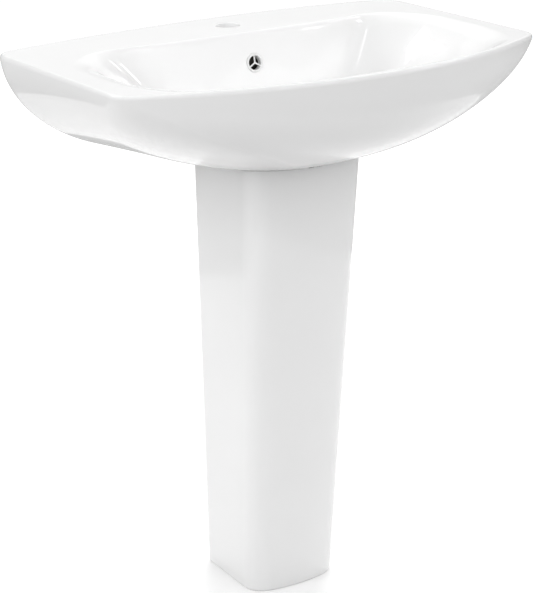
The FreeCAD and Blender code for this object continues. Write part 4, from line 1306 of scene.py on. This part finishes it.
def soft_box(name, heading, rise, wide, high, radiance, spot=FILL_SPOT, distance=FILL_DISTANCE):
    """A rectangular area light that faces a spot."""
    light = bpy.data.lights.new(name, "AREA")
    light.shape, light.size, light.size_y = "RECTANGLE", wide * MM, high * MM
    light.energy = radiance * math.pi * light.size * light.size_y
    lamp = bpy.data.objects.new(name, light)
    heading, rise = math.radians(heading), math.radians(rise)
    way = Vector((math.cos(heading) * math.cos(rise), math.sin(heading) * math.cos(rise),
                  math.sin(rise)))
    lamp.location = (Vector(spot) + way * distance) * MM
    lamp.rotation_euler = way.to_track_quat("Z", "Y").to_euler()
    lamp.visible_camera = False
    bpy.context.scene.collection.objects.link(lamp)
    return lamp


def studio_world():
    """White to the camera and through glass, dimmer as light and in reflections."""
    world = bpy.data.worlds.new("studio")
    world.use_nodes = True
    tree = world.node_tree
    tree.nodes.clear()
    ray = add(tree, "LightPath").outputs
    seen = calc(tree, "MAXIMUM", ray["Is Camera Ray"], ray["Is Transmission Ray"])
    dim = calc(tree, "MULTIPLY_ADD", ray["Is Glossy Ray"], WORLD_MIRRORED - WORLD_LIGHT,
               WORLD_LIGHT)
    sky = add(tree, "Background", {"Color": (1, 1, 1, 1),
                                   "Strength": calc(tree, "MAXIMUM", seen, dim)})
    add(tree, "OutputWorld", {"Surface": sky.outputs[0]})
    return world


def studio_camera():
    """The camera, in front to the left and above, with a long lens."""
    turning, rise = math.radians(CAMERA_TURN), math.radians(CAMERA_RISE)
    across = Vector((math.cos(turning), math.sin(turning), 0.0))
    back = Vector((math.sin(turning) * math.cos(rise), -math.cos(turning) * math.cos(rise),
                   math.sin(rise)))
    lens = bpy.data.cameras.new("camera")
    lens.lens, lens.sensor_width, lens.clip_end = CAMERA_LENS, 36.0, 60.0
    camera = bpy.data.objects.new("camera", lens)
    camera.location = (Vector(CAMERA_AIM) + across * CAMERA_SHIFT + back * CAMERA_DISTANCE) * MM
    camera.rotation_euler = back.to_track_quat("Z", "Y").to_euler()
    return camera


class SINK_OT_stage(Step, bpy.types.Operator):
    """Add the pale floor, the studio light and the camera"""
    bl_idname, bl_label = "sink.add_stage", "Stage"

    def build(self):
        scene, reach = bpy.context.scene, FLOOR_REACH * MM
        mesh = bpy.data.meshes.new("floor")
        mesh.from_pydata([(x * reach, y * reach, 0.0) for x, y in
                          ((-1, -1), (1, -1), (1, 1), (-1, 1))], [], [(0, 1, 2, 3)])
        floor = place("floor", mesh, [finish_of("floor")])
        scene.world = studio_world()
        for lamp in FILL_LAMPS:
            soft_box(*lamp).visible_glossy = False
        for lamp in MIRRORED_LAMPS:
            soft_box(*lamp)
        scene.view_settings.view_transform = "Standard"
        scene.camera = studio_camera()
        scene.collection.objects.link(scene.camera)


OPERATORS = (SINK_OT_basin, SINK_OT_pedestal, SINK_OT_pads, SINK_OT_overflow, SINK_OT_wall_bushes,
             SINK_OT_waste, SINK_OT_plug, SINK_OT_trap, SINK_OT_outlet, SINK_OT_stage)


class SINK_PT_panel(bpy.types.Panel):
    """Sizes and finishes of the sink, and its pieces in the order in which they are built"""
    bl_idname = "SINK_PT_panel"
    bl_label = "Pedestal Sink"
    bl_space_type = "VIEW_3D"
    bl_region_type = "UI"
    bl_category = "Sink"

    def draw(self, context):
        for group in (context.scene.sink_sizes, context.scene.sink_finish):
            column = self.layout.column(align=True)
            for key in type(group).__annotations__:
                column.prop(group, key)
        column = self.layout.column(align=True)
        for operator in OPERATORS:
            column.operator(operator.bl_idname)


CLASSES = (SinkSizes, SinkFinish, *OPERATORS, SINK_PT_panel)


def register():
    for each in CLASSES:
        bpy.utils.register_class(each)
    bpy.types.Scene.sink_sizes = bpy.props.PointerProperty(type=SinkSizes)
    bpy.types.Scene.sink_finish = bpy.props.PointerProperty(type=SinkFinish)


def unregister():
    del bpy.types.Scene.sink_finish
    del bpy.types.Scene.sink_sizes
    for each in reversed(CLASSES):
        bpy.utils.unregister_class(each)


def main():
    register()
    for operator in OPERATORS:
        group, name = operator.bl_idname.split(".")
        getattr(getattr(bpy.ops, group), name)()


if __name__ == "__main__":
    main()
